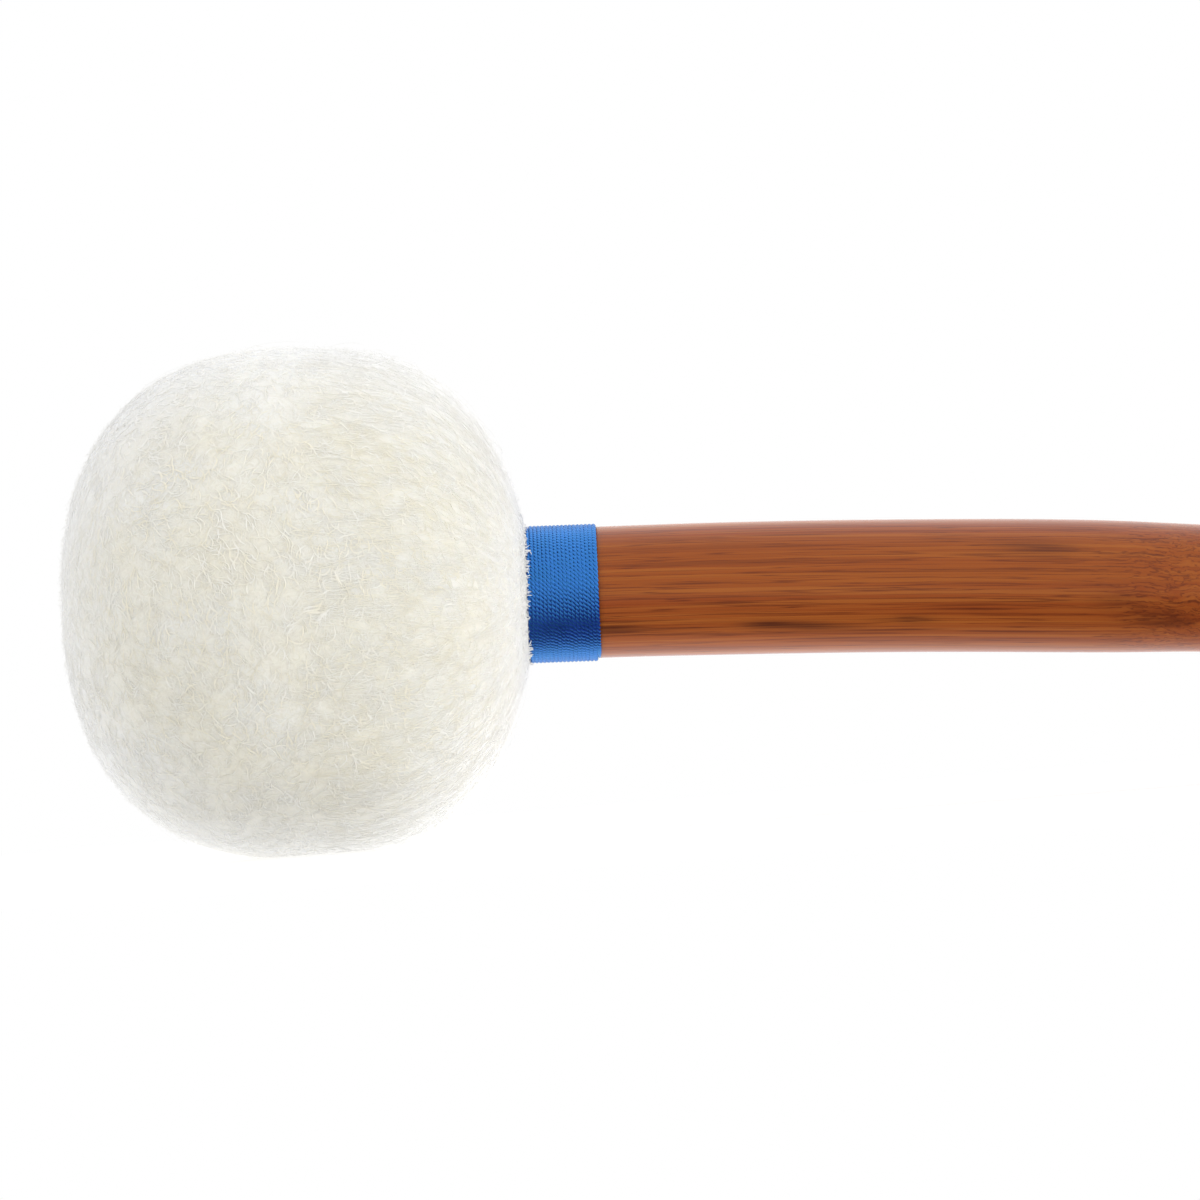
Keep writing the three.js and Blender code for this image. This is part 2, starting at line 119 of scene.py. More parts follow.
def add_node(
    tree: Tree,
    kind: str,
    inputs: dict[Any, Any] | None = None,
    stops: Sequence[tuple[float, Colour]] = (),
    output: str | int = 0,
    **settings: Any,
) -> Socket:
    """Adds one node with its settings and links.

    Args:
        tree: the node tree of a material or of the world.
        kind: the node's type, without its first word "ShaderNode".
        inputs: for an input's name or number, a value or the output of another node.
        stops: places and colours of a ramp.
        output: name or number of the output that is wanted.
        **settings: the node's own options, such as operation.

    Returns:
        That output of the new node.
    """
    node = tree.nodes.new("ShaderNode" + kind)
    for name, value in settings.items():
        setattr(node, name, value)
    fill_inputs(tree, node, inputs or {})
    if stops:
        elements = node.color_ramp.elements
        while len(elements) < len(stops):
            elements.new(0.5)
        for element, (place, colour) in zip(elements, stops):
            element.position, element.color = place, colour
    return node.outputs[output]


def clamp01(values: Points) -> Points:
    """Numbers held between 0 and 1."""
    return np.clip(values, 0.0, 1.0)


def smooth_step(values: Points, low: float, high: float) -> Points:
    """An even rise from 0 at low to 1 at high."""
    share = clamp01((values - low) / (high - low))
    return share * share * (3 - 2 * share)


def bell(distance: Points | float, reach: float) -> Points | float:
    """1 in the middle of a bump, and almost 0 at two reaches from it."""
    return np.exp(-((distance / reach) ** 2))


class SoftNoise:
    """Smooth noise in space, from -1 to 1, the same in each run."""

    CELLS = 48

    def __init__(self, seed: int) -> None:
        """Draws the values of the grid that follows from a seed."""
        self.grid = np.random.default_rng(seed).uniform(-1, 1, (self.CELLS,) * 3)

    def at(self, points: Points, size: float) -> Points:
        """Noise at each point.

        Args:
            points: rows of x, y and z.
            size: distance between features, in the points' unit.

        Returns:
            One value for each row.
        """
        scaled = points / size
        cell = np.floor(scaled).astype(int)
        share = scaled - cell
        share = share * share * (3 - 2 * share)
        total = np.zeros(len(points))
        for corner in np.ndindex(2, 2, 2):
            weight = np.prod(np.where(corner, share, 1 - share), axis=1)
            x, y, z = ((cell + corner) % self.CELLS).T
            total += weight * self.grid[x, y, z]
        return total


@dataclass(frozen=True)
class MalletSizes:
    """Driving sizes of the mallet in millimetres. Places along it are distances from the tip of the ball."""

    length: float = 380.0
    ball_radius: float = 40.2
    ball_front: float = 36.5
    ball_rear: float = 36.4
    core_pocket: float = 19.0
    core_rear: float = 61.0
    wrap_length: float = 11.5
    wrap_proud: float = 0.5
    cane_radius: float = 10.48
    shoulder_ease: float = 0.13
    bow_radius: float = 1600.0
    first_node: float = 183.0
    internode: float = 95.0
    groove_slope: float = 1.0
    groove_depth: float = 1.5
    clearance: float = 0.3

    @property
    def neck_at(self) -> float:
        """Where the wool meets the whipping."""
        return self.ball_front + self.ball_rear

    @property
    def shoulder_at(self) -> float:
        """Where the whipping ends on the cane's shoulder."""
        return self.neck_at + self.wrap_length

    @property
    def groove_at(self) -> float:
        """Where the cord ties the mouth of the cover down."""
        return self.neck_at + self.wrap_length / 2

    @property
    def wrap_radius(self) -> float:
        """Outer radius of the whipping."""
        return self.cane_radius - self.shoulder_ease + self.wrap_proud

    @property
    def nodes(self) -> list[float]:
        """Where the cane's nodes are."""
        return list(np.arange(self.first_node, self.length, self.internode))

    def groove(self, radius: float, half: float) -> list[tuple[float, float]]:
        """The dip of the cord's groove in an outline.

        Args:
            radius: radius of the surface beside the groove.
            half: half the width of its floor.

        Returns:
            Four places along the axis with their radii.
        """
        floor = radius - self.groove_depth
        return [
            (self.groove_at - half - self.groove_slope, radius),
            (self.groove_at - half, floor),
            (self.groove_at + half, floor),
            (self.groove_at + half + self.groove_slope, radius),
        ]


SIZES = MalletSizes()


class MalletAxis:
    """The mallet's own axis as it lies on the table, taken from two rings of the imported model."""

    def __init__(self, sizes: MalletSizes) -> None:
        """Finds the tip of the ball and the direction of the head's axis.

        Args:
            sizes: the mallet's driving sizes.
        """
        self.sizes = sizes
        front = self._middle("core_washer")
        rear = self._middle("gather_cord")
        self.along = (rear - front).normalized()
        self.above = Vector((-self.along.z, 0, self.along.x))
        self.tip = rear - self.along * (sizes.groove_at * MM)

    @staticmethod
    def _middle(node: str) -> Vector:
        """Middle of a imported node's box, in metres."""
        low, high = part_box(node)
        return (low + high) / 2

    def bowed(self, points: Points) -> Points:
        """Bends points of a straight mallet to the cane's bow.

        Args:
            points: rows of along, left and above, in millimetres.

        Returns:
            The rows, bent, in the frame of the head's axis.
        """
        s = self.sizes
        place, left, above = points.T
        turn = np.clip(place - s.shoulder_at, 0, s.first_node - s.shoulder_at) / s.bow_radius
        beyond = np.maximum(place - s.first_node, 0)
        x = np.minimum(place, s.shoulder_at) + s.bow_radius * np.sin(turn) + beyond * np.cos(turn)
        z = -s.bow_radius * (1 - np.cos(turn)) - beyond * np.sin(turn)
        return np.stack([x + above * np.sin(turn), left, z + above * np.cos(turn)], axis=1)

    def placed(self, points: Points) -> Points:
        """Carries rows of along, left and above in millimetres to their place on the table, in metres."""
        basis = np.array([self.along, Vector((0, 1, 0)), self.above])
        return self.bowed(points) * MM @ basis + np.array(self.tip)

    def on_axis(self, along_mm: float) -> Vector:
        """The place on the axis at a distance from the tip, in metres."""
        return Vector(self.placed(np.array([[along_mm, 0.0, 0.0]]))[0])


AXIS = MalletAxis(SIZES)


def vertex_rows(mesh: Mesh, key: str = "co") -> Points:
    """Reads three numbers of each of a mesh's vertices.

    Args:
        mesh: the mesh.
        key: "co" for their places or "normal" for their directions.

    Returns:
        One row for each vertex.
    """
    rows = np.zeros(len(mesh.vertices) * 3, np.float32)
    mesh.vertices.foreach_get(key, rows)
    return rows.reshape(-1, 3).astype(float)


def move_vertices(mesh: Mesh, places: Points) -> None:
    """Puts a mesh's vertices at new places, one row each."""
    mesh.vertices.foreach_set("co", places.astype(np.float32).ravel())
    mesh.update()


def paint(mesh: Mesh, name: str, values: Points) -> None:
    """Writes an attribute that a finish reads.

    Args:
        mesh: the mesh.
        name: the attribute's name.
        values: a number or a row of three for each vertex.
    """
    kind, key = ("FLOAT", "value") if values.ndim == 1 else ("FLOAT_VECTOR", "vector")
    attribute = mesh.attributes.new(name, kind, "POINT")
    attribute.data.foreach_set(key, values.astype(np.float32).ravel())


def add_object(name: str, data: bpy.types.ID) -> Piece:
    """Adds an object to the scene.

    Args:
        name: the object's name.
        data: its mesh, curve, lamp or camera.

    Returns:
        The new object.
    """
    made = bpy.data.objects.new(name, data)
    bpy.context.scene.collection.objects.link(made)
    return made


def turned_mesh(name: str, outline: Points, steps: int, merge_mm: float = 1e-4) -> Mesh:
    """Turns an outline about the mallet's axis.

    Args:
        name: name of the mesh.
        outline: rows of the place along the axis and the radius, in millimetres, from axis to axis.
        steps: faces round the axis.
        merge_mm: vertices nearer than this become one.

    Returns:
        A closed mesh with its faces pointing outwards, straight and in millimetres.
    """
    made = bmesh.new()
    verts = [made.verts.new((along, 0, radius)) for along, radius in outline]
    edges = [made.edges.new(pair) for pair in zip(verts, verts[1:])]
    bmesh.ops.spin(
        made,
        geom=verts + edges,
        cent=(0, 0, 0),
        axis=(1, 0, 0),
        angle=FULL_TURN,
        steps=steps,
        use_merge=True,
    )
    bmesh.ops.remove_doubles(made, verts=made.verts, dist=merge_mm)
    bmesh.ops.recalc_face_normals(made, faces=made.faces)
    for face in made.faces:
        face.smooth = True
    mesh = bpy.data.meshes.new(name)
    made.to_mesh(mesh)
    made.free()
    return mesh


def new_curve(name: str) -> bpy.types.Curve:
    """Makes an empty curve in space whose ends will be closed.

    Args:
        name: the curve's name.

    Returns:
        The new curve.
    """
    curve = bpy.data.curves.new(name, "CURVE")
    curve.dimensions = "3D"
    curve.use_fill_caps = True
    return curve


def add_line(curve: bpy.types.Curve, points: Points) -> bpy.types.Spline:
    """Adds a line to a curve.

    Args:
        curve: the curve.
        points: rows of x, y and z.

    Returns:
        The new line.
    """
    line = curve.splines.new("POLY")
    line.points.add(len(points) - 1)
    four = np.ones((len(points), 4), np.float32)
    four[:, :3] = points
    line.points.foreach_set("co", four.ravel())
    return line


def mesh_of_curve(name: str, curve: bpy.types.Curve) -> Mesh:
    """Makes a mesh of a curve with its thickness.

    Args:
        name: name for the passing object.
        curve: the curve.

    Returns:
        The new mesh, in the curve's unit.
    """
    holder = add_object(name, curve)
    made = holder.evaluated_get(bpy.context.evaluated_depsgraph_get())
    mesh = bpy.data.meshes.new_from_object(made)
    bpy.data.objects.remove(holder)
    return mesh


def add_piece(name: str, mesh: Mesh, material: Material) -> Piece:
    """Adds a mesh to the scene as a piece of the mallet.

    Args:
        name: the piece's name.
        mesh: its mesh, in place and in metres.
        material: its finish.

    Returns:
        The new object, riding on the mallet's one body.
    """
    mesh.name = name
    mesh.materials.append(material)
    piece = add_object(name, mesh)
    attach(piece, "root")
    log.info("%s: %d vertices", name, len(mesh.vertices))
    return piece


def new_material(name: str) -> tuple[Material, Tree, Node]:
    """Makes a material that holds only its shader.

    Args:
        name: the material's name.

    Returns:
        The material, its tree and its Principled BSDF node.
    """
    material = bpy.data.materials.new(name)
    material.use_nodes = True
    tree = material.node_tree
    return material, tree, tree.nodes["Principled BSDF"]


def drawn_noise(tree: Tree, place: Socket, size_mm: float, detail: float, stretch: float) -> Socket:
    """Noise whose features are longer along the mallet.

    Args:
        tree: the material's tree.
        place: coordinates in metres, along the mallet first.
        size_mm: width of the features.
        detail: octaves of noise.
        stretch: how many times longer than wide they are.

    Returns:
        The noise, from 0 to 1.
    """
    along = add_node(tree, "VectorMath", {0: place, 1: (1 / stretch, 1.0, 1.0)}, operation="MULTIPLY")
    return add_node(tree, "TexNoise", {"Vector": along, "Scale": per_mm(size_mm), "Detail": detail})


@dataclass(frozen=True)
class PaintedRimLight:
    """Painted rim light: the wool's colour is mixed towards a neutral white where it is seen at a grazing
    angle near the ball's outline.

    It starts and is full at these cosines of the angle between the line of sight and the way out of the ball.
    """

    starts: float = 0.75
    full: float = 0.2

    def over(self, tree: Tree, colour: Socket, rim_light_colour: str) -> Socket:
        """Mixes the painted rim light over a colour.

        Args:
            tree: the material's tree.
            colour: the colour over the middle of the ball.
            rim_light_colour: the sRGB colour at its outline.

        Returns:
            The mixed colour.
        """
        seen = add_node(tree, "NewGeometry").node.outputs
        middle = AXIS.on_axis(SIZES.ball_front)
        apart = add_node(tree, "VectorMath", {0: seen["Position"], 1: middle}, operation="SUBTRACT")
        outward = add_node(tree, "VectorMath", {0: apart}, operation="NORMALIZE")
        facing = add_node(
            tree, "VectorMath", {0: outward, 1: seen["Incoming"]}, output="Value", operation="DOT_PRODUCT"
        )
        share = add_node(tree, "MapRange", {"Value": facing, "From Min": self.starts, "From Max": self.full})
        return add_node(tree, "MixRGB", {"Fac": share, "Color1": colour, "Color2": srgb(rim_light_colour)})


@dataclass(frozen=True)
class FeltedWool:
    """The felted face of the ball: soft ivory, with curly strokes that run straight near the neck.

    Felt lets light in for a millimetre or so and gives it back, so that no shadow on it is sharp.
    """

    name: str = "felted_lambs_wool"
    pale: str = "F4F3EC"
    warm: str = "F3EFE0"
    # Painted shade: the darker tone that the felt takes in the hollows of its stroke relief.
    shade: str = "E6E2D4"
    # Colour of the painted rim light at the ball's outline.
    rim_light_colour: str = "F2F2F0"
    cloud_mm: float = 17.0
    curl_mm: float = 1.5
    streak_mm: float = 0.9
    depth_mm: float = 0.16
    light_depth_mm: float = 1.3

    def material(self) -> Material:
        """Builds the material: clouded tones with strokes of fibre over them, painted shade in their hollows
        and painted rim light at the outline.

        Returns:
            The new material.
        """
        material, tree, shader = new_material(self.name)
        place = add_node(tree, "TexCoord", output="Object")
        clouds = add_node(tree, "TexNoise", {"Vector": place, "Scale": per_mm(self.cloud_mm), "Detail": 2.0})
        tones = [(0.35, srgb(self.pale)), (0.65, srgb(self.warm))]
        tone = add_node(tree, "ValToRGB", {"Fac": clouds}, stops=tones)
        strokes = self._strokes(tree, place)
        # Painted shade: where the stroke relief is low, in its hollows, the colour darkens up to 0.7 of the
        # way to the shade tone.
        limits = {"From Min": 0.56, "From Max": 0.34, "To Max": 0.7}
        depth = add_node(tree, "MapRange", {"Value": strokes, **limits})
        colour = add_node(tree, "MixRGB", {"Fac": depth, "Color1": tone, "Color2": srgb(self.shade)})
        relief = {"Strength": 0.8, "Distance": self.depth_mm * MM, "Height": strokes}
        looks = {
            # Painted rim light: the colour turns neutral white towards the ball's outline, by the angle it is
            # seen at.
            "Base Color": PaintedRimLight().over(tree, colour, self.rim_light_colour),
            "Normal": add_node(tree, "Bump", relief),
            "Roughness": 0.95,
            "Specular IOR Level": 0.15,
            "Sheen Weight": 0.5,
            "Sheen Roughness": 0.5,
            "Subsurface Weight": 0.8,
            "Subsurface Radius": (1.0, 0.95, 0.85),
            "Subsurface Scale": self.light_depth_mm * MM,
        }
        fill_inputs(tree, shader, looks)
        return material

    def _strokes(self, tree: Tree, place: Socket) -> Socket:
        """Curls where the wool is felted and streaks where it is drawn back.

        Args:
            tree: the material's tree.
            place: coordinates in metres.

        Returns:
            The strokes, from 0 to 1.
        """
        curl = {"Vector": place, "Scale": per_mm(self.curl_mm), "Detail": 6.0, "Distortion": 2.8}
        combed = add_node(tree, "Attribute", output="Vector", attribute_name=BallSurface.COMBED)
        streak = {"Vector": combed, "Scale": per_mm(self.streak_mm), "Detail": 5.0, "Distortion": 0.5}
        drawn = add_node(tree, "Attribute", output="Fac", attribute_name=BallSurface.DRAWN)
        curls, streaks = (add_node(tree, "TexNoise", inputs) for inputs in (curl, streak))
        return add_node(tree, "Mix", {0: drawn, 2: curls, 3: streaks})


@dataclass(frozen=True)
class WoolFibre:
    """Single fibres and thin locks of lamb's wool, matte, with pale and warm ones side by side."""

    name: str = "loose_lambs_wool_fibre"
    pale: str = "F8F6ED"
    warm: str = "F6F1DF"
    # Colour of the painted rim light at the ball's outline.
    rim_light_colour: str = "F8F8F8"
    cloud_mm: float = 2.6

    def material(self) -> Material:
        """Builds the material.

        Returns:
            The new material.
        """
        material, tree, shader = new_material(self.name)
        place = add_node(tree, "TexCoord", output="Object")
        drift = add_node(tree, "TexNoise", {"Vector": place, "Scale": per_mm(self.cloud_mm), "Detail": 3.0})
        tones = [(0.4, srgb(self.warm)), (0.6, srgb(self.pale))]
        colour = add_node(tree, "ValToRGB", {"Fac": drift}, stops=tones)
        looks = {
            # Painted rim light: the colour turns neutral white towards the ball's outline, by the angle it is
            # seen at.
            "Base Color": PaintedRimLight().over(tree, colour, self.rim_light_colour),
            "Roughness": 0.9,
            "Specular IOR Level": 0.2,
            "Sheen Weight": 0.5,
            "Sheen Roughness": 0.5,
        }
        fill_inputs(tree, shader, looks)
        return material


@dataclass(frozen=True)
class SilkyThread:
    """Royal blue rayon thread, twisted from two plies.

    Its smooth filaments mirror the room in blue, so it goes from sky blue to navy as it turns from the light.
    """

    name: str = "royal_blue_rayon_thread"
    deep: str = "162478"
    bright: str = "1E3294"
    # Painted shade: the deep navy that the thread takes where two plies meet.
    painted_valley_shade: str = "0A1650"
    gloss_tint: str = "4EACFF"
    sheen_tint: str = "50B4FF"
    fleck_mm: float = 3.0
    filament_index: float = 3.2
    lay_flat: float = 0.6

    def material(self) -> Material:
        """Builds the material: slow drifts of dye, painted shade where the plies meet, and a silky lustre.

        Returns:
            The new material.
        """
        material, tree, shader = new_material(self.name)
        place = add_node(tree, "TexCoord", output="Object")
        flecks = add_node(tree, "TexNoise", {"Vector": place, "Scale": per_mm(self.fleck_mm), "Detail": 3.0})
        tones = [(0.3, srgb(self.deep)), (0.7, srgb(self.bright))]
        dye = add_node(tree, "ValToRGB", {"Fac": flecks}, stops=tones)
        # Painted shade: by the crest attribute, the dye darkens to deep navy where two plies meet, in place
        # of the shadow there.
        crest = add_node(tree, "Attribute", output="Fac", attribute_name=Whipping.CREST)
        plies_with_painted_shade = add_node(tree, "MixRGB", {"Fac": crest, "Color1": srgb(self.painted_valley_shade), "Color2": dye})
        looks = {
            "Base Color": plies_with_painted_shade,
            "Normal": self._filament_normal(tree),
            "Roughness": 0.2,
            "IOR": self.filament_index,
            "Specular IOR Level": 0.5,
            "Specular Tint": srgb(self.gloss_tint),
            "Sheen Weight": 0.5,
            "Sheen Roughness": 0.35,
            "Sheen Tint": srgb(self.sheen_tint),
        }
        fill_inputs(tree, shader, looks)
        return material

    def _filament_normal(self, tree: Tree) -> Socket:
        """The way that the filaments face: they lie flatter than the round plies that stand for them.

        Args:
            tree: the material's tree.

        Returns:
            The direction.
        """
        round_ply = add_node(tree, "NewGeometry", output="Normal")
        outward = add_node(tree, "Attribute", output="Vector", attribute_name=Whipping.OUTWARD)
        both = add_node(tree, "MixRGB", {"Fac": self.lay_flat, "Color1": round_ply, "Color2": outward})
        return add_node(tree, "VectorMath", {0: both}, operation="NORMALIZE")


@dataclass(frozen=True)
class CaramelBamboo:
    """Caramelised bamboo with its skin sanded off, under a thin satin lacquer.

    Long fibres show as fine dark and golden lines. They break into short, slanting dashes beside the nodes,
    and the flame that the cane was straightened over left scorch marks.
    """

    name: str = "caramelised_bamboo_satin_lacquer"
    dark: str = "561E04"
    brown: str = "90420E"
    golden: str = "A86022"
    scorch: str = "3A1204"
    red: str = "88390A"
    straw: str = "985014"
    scar: str = "4A1C08"
    line_mm: float = 0.45
    line_depth_mm: float = 0.03
    band_mm: float = 0.9
    tone_mm: float = 6.0
    tone_share: float = 0.45
    pore_mm: float = 1.0
    swirl_mm: float = 6.0
    wander_mm: float = 4.0
    stretch: float = 85.0
    pore_stretch: float = 42.5
    node_stretch: float = 9.0

    def material(self) -> Material:
        """Builds the material from the attributes that the cane's mesh carries.

        Returns:
            The new material.
        """
        material, tree, shader = new_material(self.name)
        place = self._grain_place(tree)
        bands = self._grain(tree, place, self.band_mm, 5.0)
        lines = self._grain(tree, place, self.line_mm, 2.0)
        broad = [(0.22, srgb(self.dark)), (0.46, srgb(self.brown)), (0.7, srgb(self.golden))]
        fine = [(0.46, grey(0.0)), (0.5, grey(0.7)), (0.54, grey(0.0))]
        layers = (
            (self.tone_share, self._tone(tree, place)),
            (add_node(tree, "ValToRGB", {"Fac": lines}, stops=fine), srgb(self.dark)),
            (self._pores(tree, place), srgb(self.dark)),
            (self._scorch(tree, bands), srgb(self.scorch)),
            (add_node(tree, "Attribute", output="Fac", attribute_name=Cane.SCAR), srgb(self.scar)),
        )
        colour = add_node(tree, "ValToRGB", {"Fac": bands}, stops=broad)
        for share, over in layers:
            colour = add_node(tree, "MixRGB", {"Fac": share, "Color1": colour, "Color2": over})
        relief = {"Strength": 0.4, "Distance": self.line_depth_mm * MM, "Height": lines}
        looks = {
            "Base Color": colour,
            "Normal": add_node(tree, "Bump", relief),
            "Roughness": 0.45,
            "Specular IOR Level": 0.1,
            "Coat Weight": 0.25,
            "Coat Roughness": 0.2,
        }
        fill_inputs(tree, shader, looks)
        return material

    def _grain_place(self, tree: Tree) -> Socket:
        """Coordinates of the straight cane, whose fibres wander beside the nodes.

        Args:
            tree: the material's tree.

        Returns:
            The coordinates, in metres.
        """
        straight = add_node(tree, "Attribute", output="Vector", attribute_name=Cane.STRAIGHT)
        near_node = add_node(tree, "Attribute", output="Fac", attribute_name=Cane.NODE)
        swirl = {"Vector": straight, "Scale": per_mm(self.swirl_mm), "Detail": 3.0}
        wander = add_node(tree, "TexNoise", swirl, output="Color")
        offset = add_node(tree, "VectorMath", {0: wander, 1: NOISE_MIDDLE}, operation="SUBTRACT")
        size = add_node(tree, "Math", {0: near_node, 1: self.wander_mm * MM}, operation="MULTIPLY")
        push = add_node(tree, "VectorMath", {0: offset, "Scale": size}, operation="SCALE")
        return add_node(tree, "VectorMath", {0: straight, 1: push}, operation="ADD")

    def _grain(self, tree: Tree, place: Socket, size_mm: float, detail: float) -> Socket:
        """Noise drawn out along the cane, and much less so beside the nodes.

        Args:
            tree: the material's tree.
            place: coordinates, along the cane first.
            size_mm: width of its features across the cane.
            detail: octaves of noise.

        Returns:
            The noise, from 0 to 1.
        """
        plain = drawn_noise(tree, place, size_mm, detail, self.stretch)
        disturbed = drawn_noise(tree, place, size_mm, detail, self.node_stretch)
        near_node = add_node(tree, "Attribute", output="Fac", attribute_name=Cane.NODE)
        return add_node(tree, "Mix", {0: near_node, 2: plain, 3: disturbed})

    def _tone(self, tree: Tree, place: Socket) -> Socket:
        """Slow drift between red-brown and golden brown."""
        tones = [(0.4, srgb(self.red)), (0.6, srgb(self.straw))]
        return add_node(tree, "ValToRGB", {"Fac": self._grain(tree, place, self.tone_mm, 2.0)}, stops=tones)

    def _pores(self, tree: Tree, place: Socket) -> Socket:
        """Fibre bundles cut open: thin dashes on the side of the cane and dots on its sawn end.

        Args:
            tree: the material's tree.
            place: coordinates, along the cane first.

        Returns:
            How much of the pores' colour shows.
        """
        shorter = (1 / self.pore_stretch, 1.0, 1.0)
        along = add_node(tree, "VectorMath", {0: place, 1: shorter}, operation="MULTIPLY")
        bundles = add_node(tree, "TexVoronoi", {"Vector": along, "Scale": per_mm(self.pore_mm)})
        limits = {"From Min": 0.24, "From Max": 0.1, "To Max": 0.65}
        return add_node(tree, "MapRange", {"Value": bundles, **limits})

    def _scorch(self, tree: Tree, bands: Socket) -> Socket:
        """The painted scorch marks, broken up by the fibres.

        Args:
            tree: the material's tree.
            bands: the broad bands of the grain.

        Returns:
            How much of the scorch colour shows.
        """
        mark = add_node(tree, "Attribute", output="Fac", attribute_name=Cane.SCORCH)
        limits = {"From Min": 0.35, "From Max": 0.65, "To Min": 1.4, "To Max": 0.5}
        broken = add_node(tree, "MapRange", {"Value": bands, **limits})
        return add_node(tree, "Math", {0: mark, 1: broken}, operation="MULTIPLY", use_clamp=True)


@dataclass(frozen=True)
class PlainFinish:
    """The finish of a piece inside the head: one colour and a deeper one, mixed by its grain."""

    name: str
    colour: str
    deeper: str
    grain_mm: float
    roughness: float
    stretch: float = 1.0
    metallic: float = 0.0
    bump_mm: float = 0.05

    def material(self) -> Material:
        """Builds the material.

        Returns:
            The new material.
        """
        material, tree, shader = new_material(self.name)
        place = add_node(tree, "TexCoord", output="Object")
        grain = drawn_noise(tree, place, self.grain_mm, 4.0, self.stretch)
        tones = [(0.35, srgb(self.deeper)), (0.6, srgb(self.colour))]
        relief = {"Strength": 0.5, "Distance": self.bump_mm * MM, "Height": grain}
        looks = {
            "Base Color": add_node(tree, "ValToRGB", {"Fac": grain}, stops=tones),
            "Normal": add_node(tree, "Bump", relief),
            "Roughness": self.roughness,
            "Metallic": self.metallic,
        }
        fill_inputs(tree, shader, looks)
        return material


# Turned beech: pale pinkish brown with short flecks along the grain.
BEECH = PlainFinish("turned_beech", "CFA670", "B98A55", 0.8, 0.6, stretch=12.0)
# Pressed wool felt: dense grey-white fibre with a fine nap.
PRESSED_FELT = PlainFinish("pressed_wool_felt", "B0ACA0", "98948A", 0.5, 0.95, bump_mm=0.15)
# Needled soft felt: looser ivory fibre with a deeper nap.
SOFT_FELT = PlainFinish("needled_soft_felt", "E2DDCF", "CFC9B8", 0.9, 0.95, bump_mm=0.25)
# Zinc-plated steel: cold grey with faint turning marks.
STEEL = PlainFinish("zinc_plated_steel", "A6A9AD", "8F9296", 0.3, 0.35, metallic=1.0, bump_mm=0.01)
# Linen cord: waxed straw-coloured yarn.
LINEN = PlainFinish("waxed_linen_cord", "DCCFB2", "BFAE8A", 0.35, 0.8, bump_mm=0.08)
# Cloth tape: woven cotton in the thread's blue, with a matte face.
CLOTH_TAPE = PlainFinish("woven_cloth_tape", "2A509E", "1E3D80", 0.3, 0.85, bump_mm=0.04)

HIDDEN_PIECES: dict[str, tuple[PlainFinish, Slot]] = {
    "neck_dowel": (BEECH, Slot.BEECH),
    "head_core": (BEECH, Slot.BEECH),
    "hard_felt": (PRESSED_FELT, Slot.HARD_FELT),
    "soft_felt": (SOFT_FELT, Slot.SOFT_FELT),
    "tip_felt": (SOFT_FELT, Slot.SOFT_FELT),
    "rear_felt": (SOFT_FELT, Slot.SOFT_FELT),
    "core_washer": (STEEL, Slot.STEEL),
    "core_screw": (STEEL, Slot.STEEL),
    "gather_cord": (LINEN, Slot.CORD),
    "wrap_tape": (CLOTH_TAPE, Slot.TAPE),
}


def dress_hidden_pieces(nodes: dict[str, Piece]) -> None:
    """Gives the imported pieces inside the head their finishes.

    Args:
        nodes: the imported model's nodes by name.
    """
    materials = {finish: finish.material() for finish, _ in HIDDEN_PIECES.values()}
    for name, (finish, slot) in HIDDEN_PIECES.items():
        piece = nodes[name]
        piece.data.materials.clear()
        piece.data.materials.append(materials[finish])
        log.info("%s: %s", name, finish.name)


@dataclass(frozen=True)
class ScorchMark:
    """A dark mark that the flame left on the cane. An angle of 0 faces the camera and 90 is the top."""

    along_mm: float
    angle_deg: float
    length_mm: float
    width_mm: float
    strength: float


